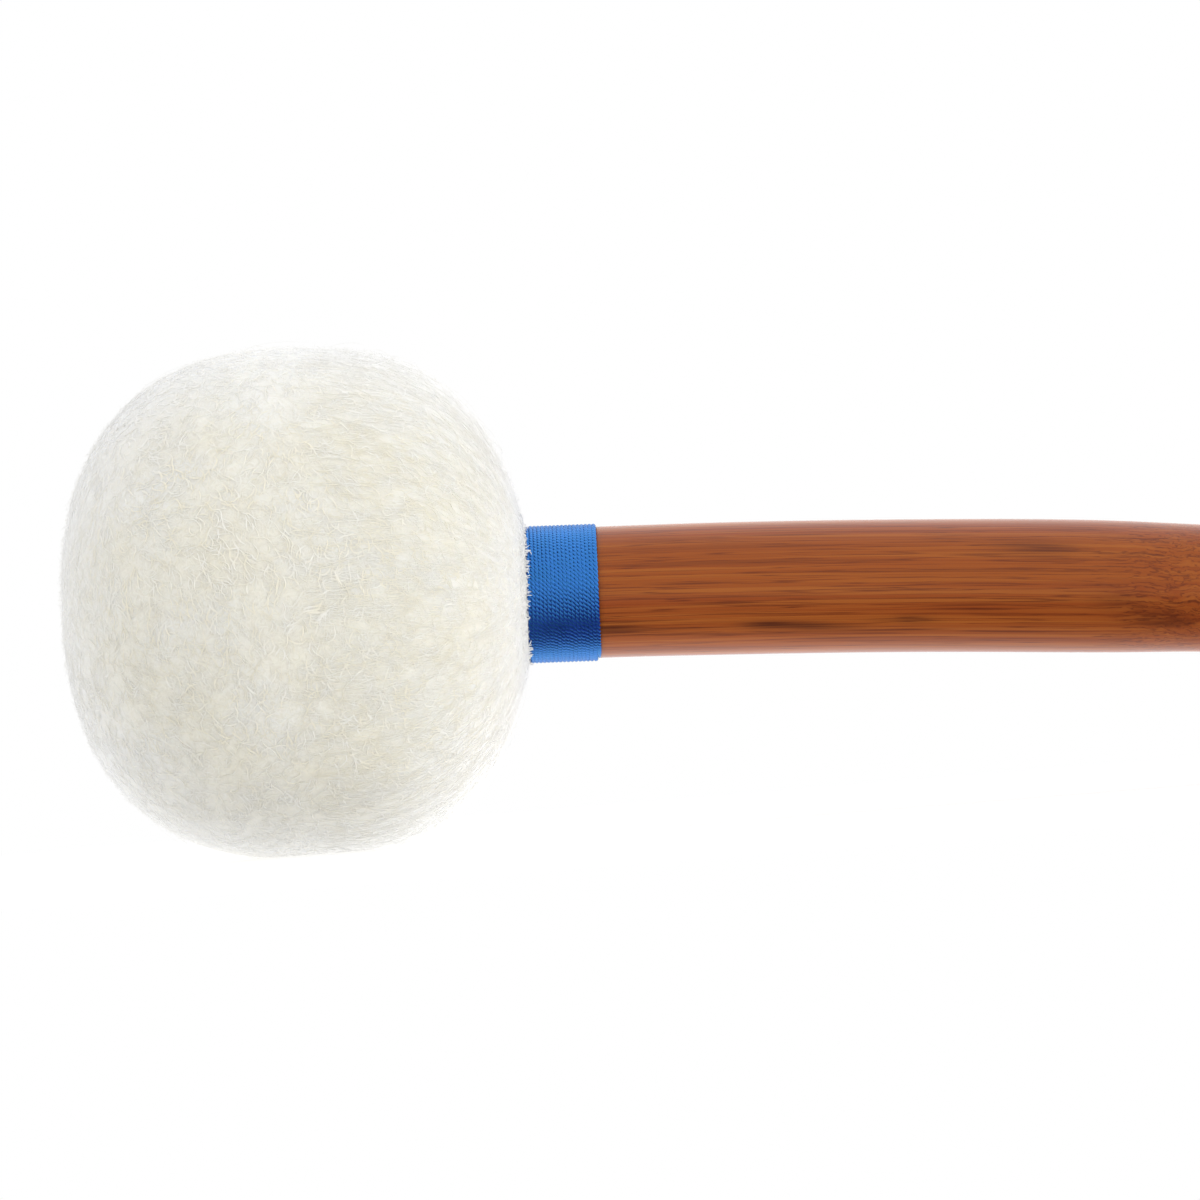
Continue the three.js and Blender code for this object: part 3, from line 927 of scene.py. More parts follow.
@dataclass(frozen=True)
class Cane:
    """The bamboo cane, bowed, with its nodes sanded nearly flush and its neck turned down for the head."""

    sizes: MalletSizes
    axis: MalletAxis
    waist_depth: float = 0.5
    waist_reach: float = 14.0
    ridge_height: float = 0.75
    ridge_reach: float = 1.7
    scar_before: float = 2.2
    scar_depth: float = 0.14
    scar_reach: float = 0.4
    scar_tone: float = 0.7
    ease_reach: float = 16.0
    shoulder_round: float = 0.15
    butt_round: float = 2.4
    butt_points: int = 9
    neck_radius: float = 8.0
    tenon_radius: float = 6.5
    tenon_chamfer: float = 0.6
    bore: float = 4.0
    diaphragm: float = 2.5
    groove_half: float = 0.9
    row: float = 1.1
    node_row: float = 0.3
    node_rows_reach: float = 5.0
    sides: int = 112
    unevenness: float = 0.06
    unevenness_apart: float = 22.0
    unevenness_seed: int = 41
    disturbed_reach: float = 13.0

    STRAIGHT = "straight"
    NODE = "near_node"
    SCORCH = "scorch"
    SCAR = "scar"
    MARKS = (
        ScorchMark(86.5, -35.0, 5.0, 0.9, 0.8),
        ScorchMark(111.0, -34.0, 4.5, 0.8, 0.85),
        ScorchMark(117.5, -36.0, 4.0, 0.8, 0.7),
        ScorchMark(123.0, -38.0, 4.0, 0.6, 0.4),
        ScorchMark(134.0, -31.0, 3.5, 0.7, 0.6),
        ScorchMark(154.0, 33.0, 6.0, 1.5, 0.45),
        ScorchMark(166.0, -12.0, 4.0, 1.6, 0.4),
        ScorchMark(173.0, -28.0, 6.0, 2.0, 0.45),
        ScorchMark(120.0, 150.0, 12.0, 1.4, 0.7),
        ScorchMark(212.0, 60.0, 9.0, 1.3, 0.6),
        ScorchMark(240.0, -110.0, 14.0, 1.5, 0.7),
        ScorchMark(305.0, -20.0, 11.0, 1.2, 0.7),
        ScorchMark(330.0, 170.0, 8.0, 1.6, 0.6),
    )

    def _near_nodes(self, along: Points, reach: float) -> Points:
        """1 at each node, falling off to both sides within a reach."""
        return sum(bell(along - node, reach) for node in self.sizes.nodes)

    def _scars(self, along: Points) -> Points:
        """1 in the narrow line that the sheath left before each node."""
        return self._near_nodes(along + self.scar_before, self.scar_reach)

    def radius(self, along: Points) -> Points:
        """Radius of the cane's skin, slimmer beside a node and raised on it.

        Args:
            along: places along the cane.

        Returns:
            A radius for each place.
        """
        s = self.sizes
        waist = self.waist_depth * self._near_nodes(along, self.waist_reach)
        ridge = self.ridge_height * self._near_nodes(along, self.ridge_reach)
        ease = s.shoulder_ease * bell(along - s.shoulder_at, self.ease_reach)
        return s.cane_radius - waist + ridge - ease - self.scar_depth * self._scars(along)

    def _rows(self) -> Points:
        """Places of the rings of vertices along the skin, closer together at the nodes.

        Returns:
            The places, in order.
        """
        s, reach = self.sizes, self.node_rows_reach
        plain = np.arange(s.shoulder_at + self.shoulder_round, s.length - self.butt_round, self.row)
        for node in s.nodes:
            plain = plain[np.abs(plain - node) > reach]
        fine = [np.arange(node - reach, node + reach + self.node_row / 2, self.node_row) for node in s.nodes]
        return np.sort(np.concatenate([plain, *fine]))

    def outline(self) -> Points:
        """The whole outline: blind bore, tenon, neck with its groove, shoulder, skin and rounded butt.

        Returns:
            Rows of the place along the axis and the radius.
        """
        s = self.sizes
        front, step = s.core_pocket + s.clearance, s.core_rear + s.clearance
        bore_end = s.first_node - self.diaphragm
        last = s.length - self.butt_round
        shoulder, skin = self.radius(np.array([s.shoulder_at, last])).tolist()
        rim = skin - self.butt_round
        inner = [
            (bore_end, 0.0),
            (bore_end, self.bore),
            (front, self.bore),
            (front, self.tenon_radius - self.tenon_chamfer),
            (front + self.tenon_chamfer, self.tenon_radius),
            (step, self.tenon_radius),
            (step, self.neck_radius),
            *s.groove(self.neck_radius, self.groove_half),
            (s.shoulder_at, self.neck_radius),
            (s.shoulder_at, shoulder - self.shoulder_round),
        ]
        rows = self._rows()
        outer = list(zip(rows, self.radius(rows)))
        turns = np.linspace(math.pi / 2, 0, self.butt_points)
        butt = [(last + self.butt_round * math.cos(t), rim + self.butt_round * math.sin(t)) for t in turns]
        return np.array(inner + outer + butt + [(s.length, 0.0)])

    def _uneven(self, straight: Points) -> Points:
        """Gives the skin the slight unevenness of a grown cane.

        Args:
            straight: rows of along, left and above.

        Returns:
            The rows, moved in or out.
        """
        along, left, above = straight.T
        radius = np.hypot(left, above)
        skin = (along > self.sizes.shoulder_at + self.row) & (radius > self.neck_radius)
        bump = self.unevenness * SoftNoise(self.unevenness_seed).at(straight, self.unevenness_apart)
        share = 1 + np.where(skin, bump, 0.0) / np.maximum(radius, self.bore)
        return np.stack([along, left * share, above * share], axis=1)

    def _scorched(self, straight: Points) -> Points:
        """Strength of the scorch marks.

        Args:
            straight: rows of along, left and above.

        Returns:
            A strength from 0 to 1 for each row.
        """
        along, left, above = straight.T
        radius = np.hypot(left, above)
        angle = np.arctan2(above, -left)
        total = np.zeros(len(straight))
        for mark in self.MARKS:
            apart = (angle - math.radians(mark.angle_deg) + math.pi) % FULL_TURN - math.pi
            lengthwise = bell(along - mark.along_mm, mark.length_mm)
            total += mark.strength * lengthwise * bell(apart * radius, mark.width_mm)
        return clamp01(total)

    def build(self) -> None:
        """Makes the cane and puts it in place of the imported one."""
        mesh = turned_mesh("bamboo_cane", self.outline(), self.sides)
        straight = self._uneven(vertex_rows(mesh))
        along = straight[:, 0]
        paint(mesh, self.STRAIGHT, straight * MM)
        paint(mesh, self.NODE, clamp01(self._near_nodes(along, self.disturbed_reach)))
        paint(mesh, self.SCORCH, self._scorched(straight))
        paint(mesh, self.SCAR, clamp01(self._scars(along)) * self.scar_tone)
        move_vertices(mesh, self.axis.placed(straight))
        piece = add_piece("bamboo_cane", mesh, CaramelBamboo().material())
        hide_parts("cane_shaft")


@dataclass(frozen=True)
class Lump:
    """One layer of unevenness of the felt, in millimetres."""

    seed: int
    apart: float
    height: float


class BallSurface:
    """The outer face of the wool, with its lumps and clumps, given by arc length from the tip and angle.

    The angle is in radians round the axis, from the mallet's left, so the camera faces an angle of pi.
    """

    COMBED = "combed"
    DRAWN = "drawn"
    FRONT_POWERS = (2.3, 2.4)
    REAR_POWERS = (2.8, 2.1)
    TABLE_STEPS = 900
    OVERRUN = 6.0
    SLOPE_STEP = 0.2
    LEAST_STEP = 1e-9
    LUMPS = (Lump(11, 15.0, 0.24), Lump(12, 4.2, 0.07), Lump(13, 1.7, 0.05))
    CALM_NECK = 6.0
    DRAWN_FROM = 0.58
    DRAWN_FULL = 0.88
    DRAWN_SOONER = 0.14
    STREAK_STRETCH = 14.0
    FOOT_LIFT = 0.55
    FOOT_REACH = 14.0
    LOWEST = 0.03

    def __init__(self, sizes: MalletSizes, axis: MalletAxis) -> None:
        """Tabulates the outline by arc length.

        Args:
            sizes: the mallet's driving sizes.
            axis: the mallet's axis on the table.
        """
        self.sizes = sizes
        self.axis = axis
        self.layers = [(SoftNoise(lump.seed), lump) for lump in self.LUMPS]
        end = math.acos((sizes.wrap_radius / sizes.ball_radius) ** (self.REAR_POWERS[1] / 2))
        turns = np.linspace(math.pi / 2, 0, self.TABLE_STEPS)
        front = self._curve(turns, -sizes.ball_front, self.FRONT_POWERS)
        long = sizes.ball_rear / math.sin(end) ** (2 / self.REAR_POWERS[0])
        rear = self._curve(np.linspace(0, end, self.TABLE_STEPS), long, self.REAR_POWERS)
        over = [(sizes.neck_at + self.OVERRUN, sizes.wrap_radius)]
        table = np.concatenate([front, rear[1:], over])
        steps = np.hypot(*np.diff(table, axis=0).T)
        self.arcs = np.concatenate([[0], np.cumsum(steps)])
        self.places, self.radii = table.T
        self.length = float(self.arcs[-2])

    def _curve(self, angles: Points, half: float, powers: tuple[float, float]) -> Points:
        """One half of the ball's outline, a superellipse.

        Args:
            angles: angles from its widest ring, in radians.
            half: its length, less than 0 to the front.
            powers: its exponents along and across the axis.

        Returns:
            Rows of the place along the axis and the radius.
        """
        along = self.sizes.ball_front + half * np.sin(angles) ** (2 / powers[0])
        radius = self.sizes.ball_radius * np.cos(angles) ** (2 / powers[1])
        return np.stack([along, radius], axis=1)

    def outline(self, steps: int) -> Points:
        """Evenly spaced points of the outline from the tip to the neck."""
        arc = np.linspace(0, self.length, steps + 1)
        return np.stack([self.along(arc), self.radius(arc)], axis=1)

    def along(self, arc: Points) -> Points:
        """Place along the axis at an arc length."""
        return np.interp(arc, self.arcs, self.places)

    def radius(self, arc: Points) -> Points:
        """Radius at an arc length."""
        return np.interp(arc, self.arcs, self.radii)

    def arc_at(self, straight: Points) -> Points:
        """Arc length of places on the ball.

        Args:
            straight: rows of along, left and above.

        Returns:
            One arc length for each row.
        """
        half = self.TABLE_STEPS
        radius = np.hypot(straight[:, 1], straight[:, 2])
        by_radius = np.interp(radius, self.radii[:half], self.arcs[:half])
        by_place = np.interp(straight[:, 0], self.places, self.arcs)
        return np.where(straight[:, 0] < self.sizes.ball_front / 2, by_radius, by_place)

    def normal(self, arc: Points, angle: Points) -> Points:
        """Outward direction of the smooth ball.

        Args:
            arc: arc length from the tip.
            angle: angle round the axis.

        Returns:
            Rows of along, left and above.
        """
        ahead, before = arc + self.SLOPE_STEP, arc - self.SLOPE_STEP
        d_along = self.along(ahead) - self.along(before)
        d_radius = self.radius(ahead) - self.radius(before)
        size = np.hypot(d_along, d_radius) + self.LEAST_STEP
        out, back = d_along / size, -d_radius / size
        return np.stack([back, out * np.cos(angle), out * np.sin(angle)], axis=1)

    def point(self, arc: Points, angle: Points, lift: Points | float) -> Points:
        """A place over the wool.

        Args:
            arc: arc length from the tip, in millimetres.
            angle: angle round the axis, in radians.
            lift: height over the felted surface, in millimetres.

        Returns:
            Rows of along, left and above, in millimetres.
        """
        radius = self.radius(arc)
        base = np.stack([self.along(arc), radius * np.cos(angle), radius * np.sin(angle)], axis=1)
        return base + self.normal(arc, angle) * (self.relief(base) + lift)[:, None]

    def relief(self, base: Points) -> Points:
        """Height of the lumps and clumps of the felt.

        Args:
            base: rows of along, left and above on the smooth ball.

        Returns:
            One height for each row, calm beside the neck.
        """
        height = sum(lump.height * noise.at(base, lump.apart) for noise, lump in self.layers)
        neck = self.sizes.neck_at
        return height * (1 - smooth_step(base[:, 0], neck - self.CALM_NECK, neck))

    def drawn(self, arc: Points, angle: Points) -> Points:
        """How far the wool is drawn back to the neck: from 0, felted in curls, to 1."""
        place = arc / self.length + self.DRAWN_SOONER * np.abs(np.sin(angle))
        return smooth_step(place, self.DRAWN_FROM, self.DRAWN_FULL)

    def combed(self, arc: Points, angle: Points) -> Points:
        """Coordinates whose features run back to the neck as streaks.

        Args:
            arc: arc length from the tip.
            angle: angle round the axis.

        Returns:
            Rows in metres.
        """
        size = self.sizes.ball_radius
        rows = np.stack([arc / self.STREAK_STRETCH, size * np.cos(angle), size * np.sin(angle)], axis=1)
        return rows * MM

    def settled(self, straight: Points, half_width: float = 0.0) -> Points:
        """Carries places on the wool to the table, where the ball's underside gives a little.

        Args:
            straight: rows of along, left and above, in millimetres.
            half_width: half the thickness of the fibre whose middle line it is, in millimetres.

        Returns:
            Rows of x, y and z in metres.
        """
        placed = self.axis.placed(straight)
        middle = self.axis.on_axis(self.sizes.ball_front)
        apart = np.hypot(placed[:, 0] - middle.x, placed[:, 1])
        low = clamp01((middle.z - placed[:, 2]) / (self.sizes.ball_radius * MM))
        placed[:, 2] += self.FOOT_LIFT * MM * low * bell(apart, self.FOOT_REACH * MM)
        placed[:, 2] = np.maximum(placed[:, 2], (self.LOWEST + half_width) * MM)
        return placed


@dataclass(frozen=True)
class WoolCover:
    """The bag of felted wool: its ball, and the gathered mouth that is tied down under the whipping."""

    sizes: MalletSizes
    surface: BallSurface
    wall: float = 5.0
    mouth_outer: float = 9.3
    mouth_inner: float = 8.3
    groove_half: float = 0.6
    outer_steps: int = 210
    inner_steps: int = 26
    sides: int = 340

    def outline(self) -> Points:
        """Outer face, gathered mouth with its groove, and inner face.

        Returns:
            Rows of the place along the axis and the radius.
        """
        s = self.sizes
        end = s.shoulder_at - s.clearance
        mouth = [
            (s.neck_at, self.mouth_outer),
            *s.groove(self.mouth_outer, self.groove_half),
            (end, self.mouth_outer),
            (end, self.mouth_inner),
            *s.groove(self.mouth_inner, self.groove_half)[::-1],
        ]
        outer = self.surface.outline(self.outer_steps)
        return np.concatenate([outer, np.array(mouth), self._inner_face()[::-1]])

    def _inner_face(self) -> Points:
        """The inside of the bag, an even wall's thickness inside the ball.

        Returns:
            Rows of the place along the axis and the radius.
        """
        s, shape = self.sizes, self.surface
        arc = np.linspace(0, shape.length, self.inner_steps + 1)
        along = self.wall + shape.along(arc) * (s.neck_at - 2 * self.wall) / s.neck_at
        radius = shape.radius(arc) * (s.ball_radius - self.wall) / s.ball_radius
        mouth = np.where(along > s.ball_front, self.mouth_inner, 0)
        return np.stack([along, np.maximum(radius, mouth)], axis=1)

    def build(self) -> None:
        """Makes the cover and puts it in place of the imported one."""
        mesh = turned_mesh("wool_ball", self.outline(), self.sides)
        smooth = vertex_rows(mesh)
        arc = self.surface.arc_at(smooth)
        angle = np.arctan2(smooth[:, 2], smooth[:, 1])
        paint(mesh, BallSurface.COMBED, self.surface.combed(arc, angle))
        paint(mesh, BallSurface.DRAWN, self.surface.drawn(arc, angle))
        lift = np.where(self._is_outer(smooth, arc), self.surface.relief(smooth), 0)
        move_vertices(mesh, self.surface.settled(smooth + vertex_rows(mesh, "normal") * lift[:, None]))
        piece = add_piece("wool_ball", mesh, FeltedWool().material())
        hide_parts("wool_cover")

    def _is_outer(self, smooth: Points, arc: Points) -> Points:
        """Finds the vertices on the outer face of the ball.

        Args:
            smooth: rows of along, left and above.
            arc: their arc lengths.

        Returns:
            True or false for each row.
        """
        radius = np.hypot(smooth[:, 1], smooth[:, 2])
        near = np.abs(self.surface.radius(arc) - radius) < self.wall / 2
        shallow = np.abs(self.surface.along(arc) - smooth[:, 0]) < self.wall / 2
        return near & shallow & (smooth[:, 0] < self.sizes.neck_at + self.sizes.clearance)


class Lie(Enum):
    """How a kind of fibre lies on the ball."""

    FELTED = "curled into the felt, and drawn back near the neck"
    COMBED = "drawn back to the neck all the way"
    LOOSE = "standing off the ball in any direction"


@dataclass(frozen=True)
class Lock:
    """One kind of fibre on the wool. Lengths are in millimetres and shares are of the way to the neck."""

    name: str
    lie: Lie
    count: int
    pieces: int
    first_share: float
    last_share: float
    shortest: float
    longest: float
    half_width: float
    lift: float
    points: int
    spread: float
    curl: float
    rise: float = 0.0
    overlap: float = 0.0


@dataclass(frozen=True)
class Fleece:
    """The fibres on the wool: felted ones, long ones drawn back to the neck, a collar and a short fuzz."""

    surface: BallSurface
    seed: int = 5
    swirl_seed: int = 23
    swirl_size: float = 15.0
    swirl_middle: float = 1.5
    swirl_turn: float = 1.5
    flare: float = 0.35
    hem_seed: int = 17
    hem_size: float = 1.7
    hem_middle: float = 0.7
    arch_height: float = 1.35
    arch_sink: float = 0.35
    wave_size: float = 2.2
    wave_rate: float = 1.3
    thickest: float = 1.05
    taper_power: float = 2.5
    section_sides: int = 3
    start_steps: int = 400
    tip_weight: float = 0.5
    least_radius: float = 1.0
    lifts: tuple[float, float] = (0.2, 1.5)
    rises: tuple[float, float] = (0.2, 1.0)

    KINDS = (
        Lock("felted_locks", Lie.FELTED, 10000, 2, 0.0, 0.97, 1.4, 4.0, 0.13, -0.03, 7, 0.5, 0.25),
        Lock("felted_fibres", Lie.FELTED, 12600, 3, 0.0, 0.97, 2.0, 6.0, 0.04, 0.05, 6, 0.6, 0.3),
        Lock("pale_strands", Lie.FELTED, 500, 1, 0.02, 0.95, 4.0, 9.0, 0.08, 0.06, 10, 0.5, 0.2),
        Lock("drawn_fibres", Lie.COMBED, 4600, 2, 0.54, 0.985, 5.0, 15.0, 0.05, 0.08, 9, 0.16, 0.04),
        Lock("collar", Lie.COMBED, 3600, 1, 0.97, 1.0, 0.6, 2.2, 0.075, 0.12, 6, 0.45, 0.2, 0.2, 1.0),
        Lock("stray_curls", Lie.COMBED, 260, 1, 0.3, 0.9, 6.0, 13.0, 0.03, 0.5, 12, 0.35, 0.12, 0.16),
        Lock("fuzz", Lie.LOOSE, 20700, 3, 0.0, 1.0, 0.7, 1.9, 0.02, 0.0, 4, 1.5, 0.4, 0.75),
    )

    def build(self, material: Material) -> None:
        """Makes every kind of fibre.

        Args:
            material: the fibres' finish.
        """
        section = self._section()
        draw = np.random.default_rng(self.seed)
        for lock in self.KINDS:
            lines, widths = self._lines(lock, draw)
            for number in range(lock.pieces):
                name = f"{lock.name}_{number + 1}" if lock.pieces > 1 else lock.name
                mesh = self._mesh(name, lines[number :: lock.pieces], widths, section)
                add_piece(name, mesh, material)
        bpy.data.objects.remove(section)

    def _section(self) -> Piece:
        """The section of a fibre, of radius 1.

        Returns:
            An object that holds it.
        """
        curve = bpy.data.curves.new("fibre_section", "CURVE")
        turns = FULL_TURN * np.arange(self.section_sides) / self.section_sides
        add_line(curve, np.stack([np.cos(turns), np.sin(turns), 0 * turns], axis=1)).use_cyclic_u = True
        return add_object("fibre_section", curve)

    def _lines(self, lock: Lock, draw: np.random.Generator) -> tuple[Points, Points]:
        """Works out the fibres of one kind.

        Args:
            lock: the kind.
            draw: the source of its chances.

        Returns:
            The points of each fibre in metres, and its half width at each of them.
        """
        shape, n = self.surface, lock.count
        arc = self._starts(lock, draw)
        angle = draw.uniform(0, FULL_TURN, n)
        length = draw.uniform(lock.shortest, lock.longest, n)
        heading = self._heading(arc, angle, lock) + draw.normal(0, lock.spread, n)
        bend = draw.normal(0, lock.curl, n)
        wave = draw.uniform(0, FULL_TURN, n)
        top = lock.lift * draw.uniform(*self.lifts, n)
        climb = lock.rise * draw.uniform(*self.rises, n)
        level = np.sqrt(1 - climb**2)
        neck = shape.point(np.full(n, shape.length), angle, 0.0)
        hem = self.hem_middle + SoftNoise(self.hem_seed).at(neck, self.hem_size)
        furthest = shape.length + draw.uniform(-self.flare, self.flare, n) + lock.overlap * hem
        step = length / (lock.points - 1)
        shares = np.linspace(0, 1, lock.points)
        rows = []
        for i, share in enumerate(shares):
            arch = self.arch_height * math.sin(math.pi * share) - self.arch_sink
            height = top * arch + climb * length * share * (1 - self.flare * share)
            rows.append(shape.point(arc, angle, height))
            waving = self.wave_size * lock.curl * np.sin(wave + self.wave_rate * step * i)
            turn = heading + bend * step * i + waving
            arc = np.clip(arc + step * level * np.cos(turn), self.flare, furthest)
            angle = angle + step * level * np.sin(turn) / np.maximum(shape.radius(arc), self.least_radius)
        lines = shape.settled(np.stack(rows, axis=1).reshape(-1, 3), lock.half_width)
        widths = lock.half_width * MM * (self.thickest - np.abs(2 * shares - 1) ** self.taper_power)
        return lines.reshape(n, lock.points, 3), widths

    def _starts(self, lock: Lock, draw: np.random.Generator) -> Points:
        """Starts of fibres that cover the ball evenly: more of them where it is wide.

        Args:
            lock: the kind of fibre.
            draw: the source of its chances.

        Returns:
            Arc lengths.
        """
        arc = np.linspace(lock.first_share, lock.last_share, self.start_steps) * self.surface.length
        weight = np.cumsum(self.surface.radius(arc) + self.tip_weight)
        return np.interp(draw.uniform(weight[0], weight[-1], lock.count), weight, arc)

    def _heading(self, arc: Points, angle: Points, lock: Lock) -> Points:
        """Direction of a fibre, as an angle from the line that runs back to the neck.

        Args:
            arc: where it starts from the tip.
            angle: where it starts round the axis.
            lock: its kind.

        Returns:
            One angle for each fibre.
        """
        if lock.lie is Lie.COMBED:
            return np.zeros(len(arc))
        noise = SoftNoise(self.swirl_seed).at(self.surface.point(arc, angle, 0.0), self.swirl_size)
        swirl = self.swirl_middle + self.swirl_turn * noise
        return swirl if lock.lie is Lie.LOOSE else swirl * (1 - self.surface.drawn(arc, angle))

    @staticmethod
    def _mesh(name: str, lines: Points, widths: Points, section: Piece) -> Mesh:
        """Makes tapered fibres along lines.

        Args:
            name: name of the mesh.
            lines: points of each fibre, in metres.
            widths: half width of a fibre at each of its points, in metres.
            section: object that holds the fibre's section.

        Returns:
            One mesh of all of them.
        """
        curve = new_curve(name)
        curve.bevel_mode = "OBJECT"
        curve.bevel_object = section
        radii = widths.astype(np.float32)
        for points in lines:
            fibre = add_line(curve, points)
            fibre.points.foreach_set("radius", radii)
            fibre.use_smooth = False
        return mesh_of_curve(name, curve)


@dataclass(frozen=True)
class Whipping:
    """The blue whipping: one twisted thread wound turn by turn over the mouth of the cover.

    Its strands nearly line up from one turn to the next, which makes the arcs across the whipping.
    """

    sizes: MalletSizes
    axis: MalletAxis
    thread: float = 0.8
    pitch: float = 0.62
    ply: float = 0.44
    plies: int = 2
    strands_per_turn: int = 95
    arc_drop: float = 0.09
    wobble: float = 0.2
    wobble_apart: float = 5.0
    wobble_seed: int = 31
    tuck: float = 0.5
    tuck_turns: float = 0.12
    steps_per_turn: int = 360

    CREST = "crest"
    OUTWARD = "outward"

    def build(self) -> None:
        """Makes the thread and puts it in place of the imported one."""
        curve = new_curve("whipping_thread")
        curve.bevel_depth = self.ply / 2
        curve.bevel_resolution = 1
        for ply in range(self.plies):
            add_line(curve, self._ply(FULL_TURN * ply / self.plies)).use_smooth = True
        mesh = mesh_of_curve("whipping_thread", curve)
        straight = vertex_rows(mesh)
        # The crest attribute drives the thread's painted shade where two plies meet.
        paint(mesh, self.CREST, self._crest(straight))
        placed = self.axis.placed(straight)
        move_vertices(mesh, placed)
        outward = placed - self.axis.placed(straight * (1.0, 0.0, 0.0))
        paint(mesh, self.OUTWARD, outward / np.linalg.norm(outward, axis=1)[:, None])
        piece = add_piece("whipping_thread", mesh, SilkyThread().material())
        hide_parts("wrap_winding")

    @property
    def start(self) -> float:
        """Where the first turn starts along the axis."""
        return self.sizes.neck_at + self.pitch / 2

    @property
    def turns(self) -> int:
        """Number of turns up to the cane's shoulder."""
        return round((self.sizes.shoulder_at - self.start) / self.pitch)

    @property
    def radius(self) -> float:
        """Radius of the thread's middle line."""
        return self.sizes.wrap_radius - self.thread / 2

    def _crest(self, straight: Points) -> Points:
        """How far each place stands out of the thread.

        Args:
            straight: rows of along, left and above.

        Returns:
            0 where two plies meet and 1 on a crest.
        """
        along, left, above = straight.T
        share = np.arctan2(left, -above) / FULL_TURN
        turn = share + np.round((along - self.start) / self.pitch - share)
        off = np.hypot(along - self.start - self.pitch * turn, np.hypot(left, above) - self.radius)
        return smooth_step(off, self.thread / 2 - self.ply / 2, self.thread / 2)

    def _ply(self, phase: float) -> Points:
        """One ply of the thread.

        Args:
            phase: where round the thread the ply starts, in radians.

        Returns:
            Its points, rows of along, left and above in millimetres.
        """
        radius, turns = self.radius, self.turns
        lay = self.plies * FULL_TURN * radius / self.strands_per_turn
        turn = np.linspace(0, turns, turns * self.steps_per_turn + 1)
        around = FULL_TURN * turn
        place = self.start + self.pitch * turn
        smooth = np.stack([place, radius * np.sin(around), -radius * np.cos(around)], axis=1)
        slip = self.wobble * SoftNoise(self.wobble_seed).at(smooth, self.wobble_apart)
        slip -= self.arc_drop * (turn - turns / 2) ** 2
        twist = phase + FULL_TURN * (FULL_TURN * radius * turn + slip) / lay
        off = (self.thread - self.ply) / 2
        tucked = smooth_step(self.tuck_turns - np.minimum(turn, turns - turn), 0.0, self.tuck_turns)
        out = radius + off * np.cos(twist) - self.tuck * tucked
        return np.stack([place + off * np.sin(twist), out * np.sin(around), -out * np.cos(around)], axis=1)


@dataclass(frozen=True)
class Zone:
    """A change of light from one place or direction to another, and its level from there on."""

    start: float
    end: float
    level: float


